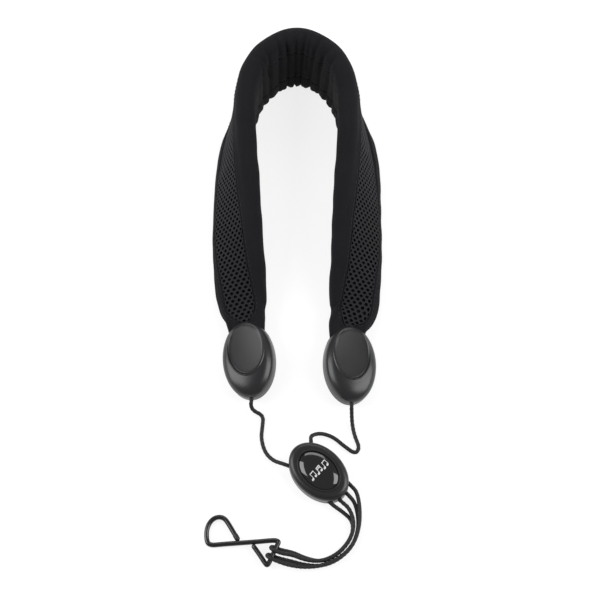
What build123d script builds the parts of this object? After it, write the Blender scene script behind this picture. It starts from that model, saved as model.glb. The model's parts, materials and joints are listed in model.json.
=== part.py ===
"""Saxophone neck strap: a padded neck band, two end caps, a cord adjuster, braided cord and a snap hook.

Millimetres. +X is right, +Y runs from the hook to the middle of the neck band, +Z is up.
The strap lies on the ground at Z = 0, with the origin under the middle of its footprint.
"""

import math
import os

from build123d import *

# ---------------------------------------------------------------- driving dimensions

# Neck band: each station is (x, y, lean, width, thickness, lift) on the right-hand leg, from the
# middle of the neck towards the cap. Lean is the angle of the band's width above the ground, so
# the band stands on its lower edge behind the neck and lies nearly flat where it meets its cap.
BAND_STATIONS = [
    (0.0, 160.2, 103.0, 49.5, 12.5, 0.0),
    (12.5, 156.3, 101.5, 49.5, 12.5, 0.0),
    (23.5, 147.0, 98.0, 49.5, 12.5, 0.0),
    (31.0, 133.5, 92.0, 49.5, 12.5, 0.0),
    (35.0, 117.5, 84.0, 49.3, 12.5, 0.0),
    (37.4, 100.5, 75.5, 49.0, 12.5, 0.0),
    (38.5, 83.0, 67.5, 47.6, 12.5, 0.0),
    (38.9, 65.5, 60.0, 45.8, 12.5, 0.0),
    (38.7, 48.0, 53.0, 43.6, 12.5, 0.0),
    (37.9, 31.0, 46.0, 41.5, 12.5, 0.0),
    (36.7, 14.5, 36.0, 37.5, 12.0, 0.0),
    (35.3, -1.0, 22.0, 33.8, 11.0, 0.0),
    (33.9, -12.0, 16.0, 30.6, 9.6, 0.9),
]
RIGHT_LEG_SHIFT = (1.0, -3.0)  # how far the right-hand leg ends from a mirror copy of the left
SHIFT_FROM_Y = 60.0
SHIFT_TO_Y = -12.0
SKIN = 1.6  # thickness of the cloth layers round the foam
FOAM_CLEARANCE = 0.1
PANEL_WIDTH = 24.0  # open mesh on the outer face
PANEL_END_WIDTH = 3.0
PANEL_TAPER_Y = 40.0  # the mesh narrows from here to the cap
LINING_WIDTH = 22.0
EDGE_SEGMENTS = 6  # flats round each rolled edge of the band
FLAT_MARGIN = 1.0  # the mesh and the lining stop this far short of the rolled edges

# End caps, each an oval clamshell over the band's gathered end
CAP_LENGTH = 50.4
CAP_WIDTH = 32.8
CAP_FRONT_HEIGHT = 8.0
CAP_BACK_HEIGHT = 6.5
CAP_FRONT_ROUND = 3.5
CAP_BACK_ROUND = 2.0
CAP_LEAN = 13.0
LEFT_CAP_CENTRE = (-30.1, -45.1)
RIGHT_CAP_CENTRE = (33.1, -48.2)
LEFT_CAP_HEADING = 95.1  # direction from the cap's centre to the band, from +X
RIGHT_CAP_HEADING = 91.6
BAND_END_WIDTH = 26.0
BAND_END_THICKNESS = 8.0
BAND_IN_CAP = 16.0  # how far the band reaches in from the cap's rim
MOUTH_MARGIN = 1.0  # the band has its end thickness from here outside the cap's rim
MOUTH_FLARE = 1.2  # how much wider the band is there than at its end
POCKET_CLEARANCE = 0.3
DISH_LENGTH = 32.2
DISH_WIDTH = 21.6
DISH_OFFSET = 5.0  # dish's centre from the cap's, towards the band
DISH_DEPTH = 1.1
DISH_TILT = 2.6
DISH_RIM = 0.9
DISH_RIM_HEIGHT = 0.4
TAB_WIDTH = 16.0
TAB_LENGTH = 10.0
TAB_THICKNESS = 1.6
TAB_CLEARANCE = 0.15
KNOT_DIAMETER = 6.4
KNOT_LENGTH = 7.0
KNOT_FROM_CENTRE = 6.0
KNOT_CLEARANCE = 0.2
CAP_TIP_LEAD = 0.6  # the cord runs straight this far out of the cap's tip

# Screws in the caps and in the adjuster
SCREW_DIAMETER = 2.0
SCREW_HEAD_DIAMETER = 3.8
SCREW_HEAD_HEIGHT = 1.3
SCREW_SINK = 0.3  # the head lies this far inside its face
SCREW_CLEARANCE = 0.03
RECESS_WIDTH = 2.1  # cross recess in the screw's head
RECESS_SLOT = 0.52
CAP_SCREW_X = 6.0
CAP_SCREW_Y = 5.0
CAP_SCREW_REACH = 3.6  # above the split between the shells

# Cord adjuster
CORD_DIAMETER = 2.5
BORE_CLEARANCE = 0.15
BORE_OVERRUN = 3.0
SLIDER_LENGTH = 42.2
SLIDER_WIDTH = 30.0
SLIDER_HEIGHT = 11.5
SLIDER_SPLIT = 5.0  # height of the cord bores and of the split between the halves
SLIDER_BACK_ROUND = 1.5
SLIDER_SLOPE = 3.4
SLIDER_CENTRE = (13.3, -116.1)
SLIDER_HEADING = -45.0
RING_LENGTH = 30.6
RING_WIDTH = 21.8
RING_WALL = 1.1
RING_HEIGHT = 0.5
RING_ROUND = 0.24
BADGE_DEPTH = 2.6
BADGE_DOME = 1.5
BADGE_STEP = 0.3  # the dome starts this far under the ring's top
BADGE_TAPER = 58.0  # slope of the dome's flank, from upright
BADGE_CLEARANCE = 0.05
OUTER_BORE_Y = 8.2
INNER_BORE_Y = 2.9
LEFT_MOUTH_ANGLE = 221.0  # places of the mouths round the adjuster's oval, from its long axis
RIGHT_MOUTH_ANGLE = 139.3
MOUTH_PROUD = 0.1  # the cord's ends lie this far outside the oval
EXIT_PROUD = 0.33
LEFT_BEND_INSET = 3.7  # each bore bends this far inside its mouth
RIGHT_BEND_INSET = 2.3
TURN_X = -4.0  # centre of the cord's turn inside the adjuster
PIN_FOOT = 2.4
PIN_TOP = 7.6
PIN_CLEARANCE = 0.15
SLIDER_SCREWS_X = (-14.0, 12.5)
SLIDER_SCREW_REACH = 2.6

# Snap hook, in its own plane: X from the eye along the shank, Y across
WIRE_DIAMETER = 3.0
HOOK_EYE_CENTRE = (-14.0, -165.2)
EYE_LIFT = 0.3  # the cord passes under the wire with this to spare
HOOK_AXIS_HEADING = 64.5  # direction of the wire that the cord wraps, from +X
HOOK_SHANK_HEADING = 183.4
HOOK_TILT = 3.7
EYE_END = (11.6, -4.7)
EYE_CORNER_LOW = (3.9, 7.2)
EYE_CORNER_HIGH = (-4.2, -7.6)
LOOP_CORNER_HEEL = (39.4, -7.6)
LOOP_CORNER_SIDE = (40.2, -16.2)
LOOP_CORNER_TOP = (30.0, -26.0)
ARM_TIP = (21.6, -10.8)
EYE_BEND = 2.6
HEEL_BEND = 3.0
SIDE_BEND = 2.7
TOP_BEND = 5.5
ARM_PIVOT = (39.8, -12.0)
ARM_GAP = 0.5
TIP_CAP_WALL = 0.45
TIP_CAP_LENGTH = 2.8
TIP_CAP_END = 0.6

# Cord routes as they lie, each from the piece that the cord comes out of
LEFT_CORD_ROUTE = [
    (-28.7, -73.9, 7.8),
    (-27.2, -76.4, 3.4),
    (-20.8, -79.0, 1.35),
    (-21.4, -86.2, 1.35),
    (-22.2, -93.5, 1.35),
    (-19.8, -102.4, 1.35),
    (-14.6, -108.0, 2.4),
]
RIGHT_CORD_ROUTE = [
    (33.8, -77.0, 7.0),
    (34.2, -84.8, 1.8),
    (35.8, -92.4, 1.35),
    (38.7, -99.4, 1.35),
    (36.0, -103.6, 1.35),
    (28.8, -98.2, 1.35),
    (22.6, -92.8, 1.5),
    (15.0, -90.4, 2.4),
    (9.2, -92.2, 4.2),
]
STRAND_ROUTES = {
    "low_inner": [
        (27.8, -139.6, 1.9),
        (33.8, -145.0, 1.35),
        (33.9, -152.6, 1.35),
        (29.6, -160.4, 1.35),
        (22.8, -166.6, 1.35),
        (14.4, -169.9, 1.35),
        (5.2, -167.8, 1.35),
        (-2.4, -164.2, 1.35),
    ],
    "high_inner": [
        (31.6, -137.8, 4.4),
        (34.4, -144.8, 4.05),
        (33.9, -152.8, 4.05),
        (29.6, -160.6, 4.05),
        (22.8, -166.8, 4.05),
        (14.4, -170.1, 4.05),
        (5.4, -169.5, 4.6),
        (-2.6, -166.6, 6.3),
    ],
    "low_outer": [
        (35.2, -133.8, 2.2),
        (37.2, -141.8, 1.35),
        (37.2, -150.8, 1.35),
        (33.4, -160.8, 1.35),
        (25.1, -168.6, 1.35),
        (15.0, -172.6, 1.35),
        (5.0, -171.9, 1.35),
        (-3.4, -169.6, 1.35),
    ],
    "high_outer": [
        (36.6, -128.0, 4.4),
        (38.3, -137.6, 4.05),
        (37.8, -149.6, 4.05),
        (33.7, -160.8, 4.05),
        (25.2, -168.6, 4.05),
        (15.0, -172.8, 4.05),
        (4.6, -173.8, 4.6),
        (-4.6, -172.8, 6.2),
    ],
}
WRAP_CLEARANCE = 0.05  # between the cord and the wire that it goes round
WRAP_GAP = 0.1  # between neighbouring strands on the wire
WRAP_ORDER = ["high_outer", "low_outer", "high_inner", "low_inner"]  # along the wire
LOW_WRAP_LEAD = 2.6  # straight runs before the wrap
HIGH_WRAP_LEAD = 4.2
EXIT_LEAD = 2.4  # straight run where a strand leaves the adjuster
LEFT_MOUTH_LEAD = 4.0  # straight runs where the upper cords enter it
RIGHT_MOUTH_LEAD = 3.0

# ---------------------------------------------------------------- shared helpers


def save(part, label):
    """Write one finished piece as its own file."""
    part.label = label
    export_step(part, f"parts/{label}.step")


def ease(value, start, end):
    """0 before start, 1 after end, with a smooth rise between them."""
    share = min(max((value - start) / (end - start), 0.0), 1.0)
    return share * share * (3.0 - 2.0 * share)


def leaning_plane(centre, outward, lean):
    """Plane across the band: X from its lower to its upper edge, Y towards its outer face."""
    slope = math.radians(lean)
    across = outward * -math.cos(slope) + Vector(0, 0, math.sin(slope))
    return Plane(origin=centre, x_dir=across, z_dir=Vector(0, 0, 1).cross(outward))


# ---------------------------------------------------------------- end caps: places


def cap_plane(centre, heading, side):
    """Plane of a cap's split: Y towards the band, Z out of its front, side -1 left or 1 right."""
    slope = math.radians(CAP_LEAN)
    along = Vector(math.cos(math.radians(heading)), math.sin(math.radians(heading)), 0)
    outward = Vector(0, 0, 1).cross(along) * -side
    front = outward * math.sin(slope) + Vector(0, 0, math.cos(slope))
    height = (
        (CAP_WIDTH / 2 - CAP_BACK_ROUND) * math.sin(slope)
        + (CAP_BACK_HEIGHT - CAP_BACK_ROUND) * math.cos(slope)
        + CAP_BACK_ROUND
    )
    return Plane(origin=(*centre, height), x_dir=along.cross(front), z_dir=front)


CAPS = {
    "left": cap_plane(LEFT_CAP_CENTRE, LEFT_CAP_HEADING, -1),
    "right": cap_plane(RIGHT_CAP_CENTRE, RIGHT_CAP_HEADING, 1),
}
BAND_MOUTH = CAP_LENGTH / 2 + MOUTH_MARGIN
BAND_END = CAP_LENGTH / 2 - BAND_IN_CAP
BAND_MOUTH_WIDTH = BAND_END_WIDTH + MOUTH_FLARE

# ---------------------------------------------------------------- neck band


def band_section(plane, width, thickness, y):
    """One cross-section of the band, with the half width of its mesh and its lining."""
    narrow = ease(y, PANEL_TAPER_Y, -CAP_LENGTH / 2)
    panel = PANEL_WIDTH + (PANEL_END_WIDTH - PANEL_WIDTH) * narrow
    limit = width - thickness - FLAT_MARGIN
    return plane, width, thickness, min(panel, limit) / 2, min(LINING_WIDTH, limit) / 2


def leg_sections(side):
    """Cross-sections of one leg, from the station after the middle to its end in the cap."""
    places = []
    for x, y, lean, width, thickness, lift in BAND_STATIONS:
        moved = ease(y, SHIFT_FROM_Y, SHIFT_TO_Y) if side > 0 else 0.0
        rise = thickness / 2 + (width - thickness) / 2 * math.sin(math.radians(lean)) + lift
        place = Vector(side * x + RIGHT_LEG_SHIFT[0] * moved, y + RIGHT_LEG_SHIFT[1] * moved, rise)
        places.append((place, lean, width, thickness))
    cap = CAPS["right" if side > 0 else "left"]
    mouth = cap.from_local_coords(Vector(0, BAND_MOUTH, 0))
    centres = [place for place, *_ in places] + [mouth]
    sections = []
    for index in range(1, len(places)):
        place, lean, width, thickness = places[index]
        run = centres[index + 1] - centres[index - 1]
        run = Vector(run.X, run.Y, 0).normalized()
        outward = Vector(0, 0, 1).cross(run) * side
        sections.append(band_section(leaning_plane(place, outward, lean), width, thickness, place.Y))
    for reach, width in ((BAND_MOUTH, BAND_MOUTH_WIDTH), (BAND_END, BAND_END_WIDTH)):
        inside = cap.from_local_coords(Vector(0, reach, 0))
        outward = Vector(cap.z_dir.X, cap.z_dir.Y, 0).normalized()
        plane = leaning_plane(inside, outward, CAP_LEAN)
        sections.append(band_section(plane, width, BAND_END_THICKNESS, inside.Y))
    return sections


def middle_section():
    """Cross-section behind the neck, on the line of symmetry."""
    x, y, lean, width, thickness, lift = BAND_STATIONS[0]
    rise = thickness / 2 + (width - thickness) / 2 * math.sin(math.radians(lean)) + lift
    plane = leaning_plane(Vector(x, y, rise), Vector(0, 1, 0), lean)
    return band_section(plane, width, thickness, y)


def rolled_edge(width, thickness, inset, sign):
    """Points round one edge, from the outer face to the inner face, inset from the surface."""
    centre = (width - thickness) / 2
    radius = thickness / 2 - inset
    points = []
    for step in range(EDGE_SEGMENTS + 1):
        angle = math.pi / 2 - math.pi * step / EDGE_SEGMENTS
        points.append((sign * (centre + radius * math.cos(angle)), radius * math.sin(angle)))
    return points


def foam_outline(width, thickness, panel, lining):
    upper = rolled_edge(width, thickness, SKIN + FOAM_CLEARANCE, 1)
    lower = rolled_edge(width, thickness, SKIN + FOAM_CLEARANCE, -1)
    top = thickness / 2 - SKIN - FOAM_CLEARANCE
    return [(panel, top), *upper, (lining, -top), (-lining, -top), *lower[::-1], (-panel, top)]


def panel_outline(width, thickness, panel, lining):
    top = thickness / 2
    return [(-panel, top - SKIN), (panel, top - SKIN), (panel, top), (-panel, top)]


def lining_outline(width, thickness, panel, lining):
    bottom = -thickness / 2
    return [(-lining, bottom), (lining, bottom), (lining, bottom + SKIN), (-lining, bottom + SKIN)]


def edge_outline(width, thickness, panel, lining, sign):
    outside = rolled_edge(width, thickness, 0.0, sign)
    inside = rolled_edge(width, thickness, SKIN, sign)
    top = thickness / 2
    over = [(sign * panel, top), *outside, (sign * lining, -top)]
    under = [(sign * lining, SKIN - top), *inside[::-1], (sign * panel, top - SKIN)]
    return over + under


def band_layer(label, outline):
    """Loft one layer of the band through all its cross-sections."""
    sections = leg_sections(-1)[::-1] + [middle_section()] + leg_sections(1)
    with BuildPart() as layer:
        for plane, width, thickness, panel, lining in sections:
            with BuildSketch(plane):
                with BuildLine():
                    Polyline(*outline(width, thickness, panel, lining), close=True)
                make_face()
        loft(ruled=True)
    save(layer.part, label)


# ---------------------------------------------------------------- end caps: pieces


def cap_shell(side, front):
    """One half of a cap, hollowed for the band, its tab, the cord's knot and the screws."""
    plane = CAPS[side]
    height = CAP_FRONT_HEIGHT if front else -CAP_BACK_HEIGHT
    rounding = CAP_FRONT_ROUND if front else CAP_BACK_ROUND
    hollows = cap_hollows(plane)
    holes = cap_screw_holes(plane, front)
    dish = dish_cutter(plane)
    with BuildPart() as shell:
        with BuildSketch(plane):
            Ellipse(CAP_WIDTH / 2, CAP_LENGTH / 2)
        extrude(amount=height)
        outer_face = shell.faces().sort_by(Axis(plane.origin, plane.z_dir))[-1 if front else 0]
        fillet(outer_face.edges(), radius=rounding)
        if front:
            with BuildSketch(plane.offset(CAP_FRONT_HEIGHT - DISH_RIM_HEIGHT)):
                with Locations((0, DISH_OFFSET)):
                    Ellipse(DISH_WIDTH / 2 + DISH_RIM, DISH_LENGTH / 2 + DISH_RIM)
            extrude(amount=2 * DISH_RIM_HEIGHT)
            add(dish, mode=Mode.SUBTRACT)
        add(hollows, mode=Mode.SUBTRACT)
        add(holes, mode=Mode.SUBTRACT)
    save(shell.part, f"{side}_cap_{'front' if front else 'back'}")


def dish_cutter(plane):
    """Oval dish with a sloping floor, deepest towards the cord."""
    level = plane.offset(CAP_FRONT_HEIGHT - DISH_DEPTH)
    floor = Plane(
        level.from_local_coords(Vector(0, DISH_OFFSET, 0)),
        level.x_dir,
        level.z_dir.rotate(Axis((0, 0, 0), level.x_dir), DISH_TILT),
    )
    with BuildPart() as dish:
        with BuildSketch(floor):
            Ellipse(DISH_WIDTH / 2, DISH_LENGTH / 2)
        extrude(amount=DISH_DEPTH * 3)
    return dish.part


def cap_hollows(plane):
    """Everything that both halves of a cap are hollowed for, across their split."""
    knot_end = -KNOT_FROM_CENTRE - KNOT_LENGTH - KNOT_CLEARANCE
    chamber = Plane(plane.from_local_coords(Vector(0, knot_end, 0)), plane.x_dir, plane.y_dir)
    tab_end = BAND_END - TAB_LENGTH
    with BuildPart() as hollows:
        with BuildSketch(plane.offset(-BAND_END_THICKNESS / 2)):
            with Locations((0, (BAND_END + CAP_LENGTH) / 2)):
                Rectangle(BAND_MOUTH_WIDTH + 2 * POCKET_CLEARANCE, CAP_LENGTH - BAND_END)
        extrude(amount=BAND_END_THICKNESS)
        with BuildSketch(plane.offset(-TAB_THICKNESS / 2)):
            with Locations((0, (tab_end + CAP_LENGTH / 2) / 2)):
                Rectangle(TAB_WIDTH + 2 * TAB_CLEARANCE, CAP_LENGTH / 2 - tab_end)
        extrude(amount=TAB_THICKNESS)
        with BuildSketch(chamber):
            Circle(KNOT_DIAMETER / 2 + KNOT_CLEARANCE)
        extrude(amount=KNOT_LENGTH + 2 * KNOT_CLEARANCE)
        with BuildSketch(chamber):
            Circle(CORD_DIAMETER / 2 + BORE_CLEARANCE)
        extrude(amount=-CAP_LENGTH / 2)
    return hollows.part


def cap_screw_places(plane):
    return [plane.from_local_coords(Vector(x, CAP_SCREW_Y, 0)) for x in (-CAP_SCREW_X, CAP_SCREW_X)]


def cap_screw_holes(plane, front):
    """Blind holes in the front half, or through holes with sunk heads in the back half."""
    with BuildPart() as holes:
        for place in cap_screw_places(plane):
            centre = Plane(place, plane.x_dir, plane.z_dir)
            reach = CAP_SCREW_REACH + SCREW_CLEARANCE if front else -CAP_BACK_HEIGHT
            with BuildSketch(centre):
                Circle(SCREW_DIAMETER / 2 + SCREW_CLEARANCE)
            extrude(amount=reach)
            if not front:
                with BuildSketch(centre.offset(-CAP_BACK_HEIGHT)):
                    Circle(SCREW_HEAD_DIAMETER / 2 + SCREW_CLEARANCE)
                extrude(amount=SCREW_HEAD_HEIGHT + SCREW_SINK)
    return holes.part


def screw(label, foot, reach):
    """Flat-headed screw with a cross recess, its head sunk below the outer face at foot."""
    with BuildPart() as piece:
        with BuildSketch(foot.offset(SCREW_SINK)):
            Circle(SCREW_HEAD_DIAMETER / 2)
        extrude(amount=SCREW_HEAD_HEIGHT)
        with BuildSketch(foot.offset(SCREW_SINK + SCREW_HEAD_HEIGHT)):
            Circle(SCREW_DIAMETER / 2)
        extrude(amount=reach - SCREW_SINK - SCREW_HEAD_HEIGHT)
        with BuildSketch(foot.offset(SCREW_SINK)):
            Rectangle(RECESS_WIDTH, RECESS_SLOT)
            Rectangle(RECESS_SLOT, RECESS_WIDTH)
        extrude(amount=SCREW_HEAD_HEIGHT / 2, mode=Mode.SUBTRACT)
    save(piece.part, label)


def end_tab(side):
    """Webbing tab sewn to the band's end and held by the cap's two screws."""
    plane = CAPS[side]
    with BuildPart() as tab:
        with BuildSketch(plane.offset(-TAB_THICKNESS / 2)):
            with Locations((0, BAND_END - TAB_LENGTH / 2)):
                Rectangle(TAB_WIDTH, TAB_LENGTH)
            with Locations((-CAP_SCREW_X, CAP_SCREW_Y), (CAP_SCREW_X, CAP_SCREW_Y)):
                Circle(SCREW_DIAMETER / 2 + TAB_CLEARANCE, mode=Mode.SUBTRACT)
        extrude(amount=TAB_THICKNESS)
    save(tab.part, f"{side}_end_tab")


def cord_knot(side):
    """Stopper knot that holds the cord inside its cap."""
    plane = CAPS[side]
    start = plane.from_local_coords(Vector(0, -KNOT_FROM_CENTRE, 0))
    with BuildPart() as knot:
        with BuildSketch(Plane(start, plane.x_dir, plane.y_dir)):
            Circle(KNOT_DIAMETER / 2)
        extrude(amount=-KNOT_LENGTH)
        fillet(knot.edges(), radius=KNOT_DIAMETER / 4)
    save(knot.part, f"{side}_cord_knot")


# ---------------------------------------------------------------- cord


def largest_radii(points):
    """For each corner, 0.45 of its shorter run over the tangent of half its turn."""
    radii = []
    for before, corner, after in zip(points, points[1:], points[2:]):
        first = Vector(corner) - Vector(before)
        second = Vector(after) - Vector(corner)
        half_turn = math.radians(first.get_angle(second)) / 2
        radii.append(0.45 * min(first.length, second.length) / math.tan(half_turn))
    return radii


def cord_tube(label, points):
    """Sweep the cord's round section along its route."""
    radii = largest_radii(points)
    with BuildPart() as tube:
        with BuildLine() as path:
            FilletPolyline(*points, radius=radii)
        with BuildSketch(Plane(origin=path.wire() @ 0, z_dir=path.wire() % 0)):
            Circle(CORD_DIAMETER / 2)
        sweep()
    expected = math.pi * CORD_DIAMETER**2 / 4 * path.wire().length
    listed = ", ".join(f"{radius:.1f}" for radius in radii)
    print(f"{label}: {path.wire().length:.1f} mm long, bend radii {listed}")
    print(f"{label}: volume {tube.part.volume:.0f}, section x length {expected:.0f} mm3")
    save(tube.part, label)


def cap_lead(side):
    """Start of an upper cord: from the knot's face out through the tip of its cap."""
    knot_face = CAPS[side].from_local_coords(Vector(0, -KNOT_FROM_CENTRE - KNOT_LENGTH, 0))
    tip = CAPS[side].from_local_coords(Vector(0, -CAP_LENGTH / 2 - CAP_TIP_LEAD, 0))
    return [tuple(knot_face), tuple(tip)]


# ---------------------------------------------------------------- cord adjuster

SLIDER_PLANE = Plane(
    origin=(*SLIDER_CENTRE, 0),
    x_dir=(math.cos(math.radians(SLIDER_HEADING)), math.sin(math.radians(SLIDER_HEADING)), 0),
)
BORE_PLANE = SLIDER_PLANE.offset(SLIDER_SPLIT)
PIN_RADIUS = INNER_BORE_Y - CORD_DIAMETER / 2 - PIN_CLEARANCE


def bore_point(x, y):
    return tuple(BORE_PLANE.from_local_coords(Vector(x, y, 0)))


def oval_point(angle):
    """Point just outside the adjuster's oval, at an angle of the oval's own parameter."""
    turn = math.radians(angle)
    reach = SLIDER_LENGTH / 2 + MOUTH_PROUD
    return reach * math.cos(turn), (SLIDER_WIDTH / 2 + MOUTH_PROUD) * math.sin(turn)


def exit_point(y):
    """Where a strand leaves the adjuster, just outside its oval."""
    share = math.sqrt(1 - (y / (SLIDER_WIDTH / 2)) ** 2)
    return SLIDER_LENGTH / 2 * share + EXIT_PROUD, y


def slider_runs():
    """Routes of the two cords that pass straight through, each by a bent bore."""
    runs = {}
    for side, angle, inset, y in (
        ("left", LEFT_MOUTH_ANGLE, LEFT_BEND_INSET, -OUTER_BORE_Y),
        ("right", RIGHT_MOUTH_ANGLE, RIGHT_BEND_INSET, OUTER_BORE_Y),
    ):
        mouth = oval_point(angle)
        runs[side] = [mouth, (mouth[0] + inset, y), exit_point(y)]
    return runs


def mouth_lead(side, reach):
    """Point outside a mouth, on the line of its bore."""
    mouth, bend, _ = slider_runs()[side]
    outward = (Vector(*mouth) - Vector(*bend)).normalized()
    place = Vector(*mouth) + outward * reach
    return bore_point(place.X, place.Y)


def turn_path():
    """Centre line of the cord's turn round the pin."""
    with BuildLine(BORE_PLANE) as path:
        Line(exit_point(INNER_BORE_Y), (TURN_X, INNER_BORE_Y))
        ThreePointArc((TURN_X, INNER_BORE_Y), (TURN_X - INNER_BORE_Y, 0), (TURN_X, -INNER_BORE_Y))
        Line((TURN_X, -INNER_BORE_Y), exit_point(-INNER_BORE_Y))
    return path.wire()


def tube_along(path, diameter):
    """Solid round bar along a path."""
    with BuildPart() as bar:
        with BuildSketch(Plane(origin=path @ 0, z_dir=path % 0)):
            Circle(diameter / 2)
        sweep(path=path)
    return bar.part


def slider_bores():
    """Every cord bore, each run past the faces that it opens through."""
    diameter = CORD_DIAMETER + 2 * BORE_CLEARANCE
    bores = [tube_along(turn_path(), diameter)]
    for mouth, bend, end in slider_runs().values():
        start = Vector(*mouth) + (Vector(*mouth) - Vector(*bend)).normalized() * BORE_OVERRUN
        finish = (end[0] + BORE_OVERRUN, end[1])
        points = [bore_point(start.X, start.Y), bore_point(*bend), bore_point(*finish)]
        bends = largest_radii([bore_point(*mouth), bore_point(*bend), bore_point(*end)])
        with BuildLine() as path:
            FilletPolyline(*points, radius=bends)
        bores.append(tube_along(path.wire(), diameter))
    for y in (-INNER_BORE_Y, INNER_BORE_Y):
        inside = Vector(*exit_point(y)) - Vector(1, 0, 0)
        mouth = Plane(BORE_PLANE.from_local_coords(inside), z_dir=BORE_PLANE.x_dir)
        with BuildPart() as opening:
            with BuildSketch(mouth):
                Circle(diameter / 2)
            extrude(amount=BORE_OVERRUN + 1)
        bores.append(opening.part)
    return bores


def slider_screw_planes():
    return [
        Plane(SLIDER_PLANE.from_local_coords(Vector(x, 0, 0)), SLIDER_PLANE.x_dir, SLIDER_PLANE.z_dir)
        for x in SLIDER_SCREWS_X
    ]


def slider_pin_at(radius):
    """Post that the cord turns round, or with a larger radius the hole that it stands in."""
    foot = SLIDER_PLANE.from_local_coords(Vector(TURN_X, 0, PIN_FOOT))
    with BuildPart() as pin:
        with BuildSketch(Plane(foot, z_dir=(0, 0, 1))):
            Circle(radius)
        extrude(amount=PIN_TOP - PIN_FOOT)
    return pin.part


def slider_back():
    """Flat lower half, with the screw heads sunk in it."""
    hollows = slider_bores() + [slider_pin_at(PIN_RADIUS + SCREW_CLEARANCE)]
    with BuildPart() as back:
        with BuildSketch(SLIDER_PLANE):
            Ellipse(SLIDER_LENGTH / 2, SLIDER_WIDTH / 2)
        extrude(amount=SLIDER_SPLIT)
        fillet(back.faces().sort_by(Axis.Z)[0].edges(), radius=SLIDER_BACK_ROUND)
        for hollow in hollows:
            add(hollow, mode=Mode.SUBTRACT)
        for plane in slider_screw_planes():
            with BuildSketch(plane):
                Circle(SCREW_DIAMETER / 2 + SCREW_CLEARANCE)
            extrude(amount=SLIDER_SPLIT, mode=Mode.SUBTRACT)
            with BuildSketch(plane):
                Circle(SCREW_HEAD_DIAMETER / 2 + SCREW_CLEARANCE)
            extrude(amount=SCREW_HEAD_HEIGHT + SCREW_SINK, mode=Mode.SUBTRACT)
    save(back.part, "slider_back")


def slider_front():
    """Upper half with its wide sloping shoulder and the raised ring round the badge."""
    hollows = slider_bores() + [slider_pin_at(PIN_RADIUS + SCREW_CLEARANCE)]
    with BuildPart() as front:
        with BuildSketch(BORE_PLANE):
            Ellipse(SLIDER_LENGTH / 2, SLIDER_WIDTH / 2)
        extrude(amount=SLIDER_HEIGHT - RING_HEIGHT - SLIDER_SPLIT)
        fillet(front.faces().sort_by(Axis.Z)[-1].edges(), radius=SLIDER_SLOPE)
        with BuildSketch(SLIDER_PLANE.offset(SLIDER_HEIGHT - RING_HEIGHT)):
            Ellipse(RING_LENGTH / 2, RING_WIDTH / 2)
        extrude(amount=RING_HEIGHT)
        fillet(front.faces().sort_by(Axis.Z)[-1].edges(), radius=RING_ROUND)
        with BuildSketch(SLIDER_PLANE.offset(SLIDER_HEIGHT - BADGE_DEPTH)):
            Ellipse(RING_LENGTH / 2 - RING_WALL, RING_WIDTH / 2 - RING_WALL)
        extrude(amount=BADGE_DEPTH, mode=Mode.SUBTRACT)
        for hollow in hollows:
            add(hollow, mode=Mode.SUBTRACT)
        for plane in slider_screw_planes():
            with BuildSketch(plane.offset(SLIDER_SPLIT)):
                Circle(SCREW_DIAMETER / 2 + SCREW_CLEARANCE)
            extrude(amount=SLIDER_SCREW_REACH + SCREW_CLEARANCE, mode=Mode.SUBTRACT)
    save(front.part, "slider_front")


def slider_badge():
    """Domed oval badge seated in the ring."""
    half_length = RING_LENGTH / 2 - RING_WALL - BADGE_CLEARANCE
    half_width = RING_WIDTH / 2 - RING_WALL - BADGE_CLEARANCE
    seat = SLIDER_HEIGHT - BADGE_DEPTH
    rim = BADGE_DEPTH - BADGE_STEP
    with BuildPart() as badge:
        with BuildSketch(SLIDER_PLANE.offset(seat)):
            Ellipse(half_length, half_width)
        extrude(amount=rim)
        with BuildSketch(SLIDER_PLANE.offset(seat + rim)):
            Ellipse(half_length, half_width)
        extrude(amount=BADGE_DOME, taper=BADGE_TAPER)
        fillet(badge.faces().sort_by(Axis.Z)[-1].edges(), radius=BADGE_DOME)
    save(badge.part, "slider_badge")


def slider_inside():
    """The post and the three stretches of cord inside the adjuster."""
    save(slider_pin_at(PIN_RADIUS), "slider_turn_pin")
    for side, points in slider_runs().items():
        cord_tube(f"slider_cord_{side}", [bore_point(*point) for point in points])
    save(tube_along(turn_path(), CORD_DIAMETER), "slider_cord_turn")


# ---------------------------------------------------------------- snap hook


def heading(degrees):
    return Vector(math.cos(math.radians(degrees)), math.sin(math.radians(degrees)), 0)


HOOK_AXIS = heading(HOOK_AXIS_HEADING)
HOOK_CENTRE = Vector(*HOOK_EYE_CENTRE, WIRE_DIAMETER / 2 + CORD_DIAMETER + EYE_LIFT)
HOOK_NORMAL = Vector(0, 0, 1).rotate(Axis((0, 0, 0), HOOK_AXIS), -HOOK_TILT)
HOOK_SHANK = heading(HOOK_SHANK_HEADING)
HOOK_PLANE = Plane(
    origin=HOOK_CENTRE,
    x_dir=HOOK_SHANK - HOOK_NORMAL * HOOK_SHANK.dot(HOOK_NORMAL),
    z_dir=HOOK_NORMAL,
)


def wire_sweep(points, radii, diameter):
    """Round wire bent along the given corners of the hook's plane."""
    with BuildPart() as wire:
        with BuildLine(HOOK_PLANE) as path:
            FilletPolyline(*points, radius=radii)
        with BuildSketch(Plane(origin=path.wire() @ 0, z_dir=path.wire() % 0)):
            Circle(diameter / 2)
        sweep(path=path.wire())
    return wire.part


def pivot_ends():
    """Ends of the two wires at the arm's pivot, half the gap to each side."""
    side = Vector(*LOOP_CORNER_SIDE) - Vector(*LOOP_CORNER_HEEL)
    step = side.normalized() * (ARM_GAP / 2)
    pivot = Vector(*ARM_PIVOT)
    return tuple(pivot - step)[:2], tuple(pivot + step)[:2]


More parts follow.
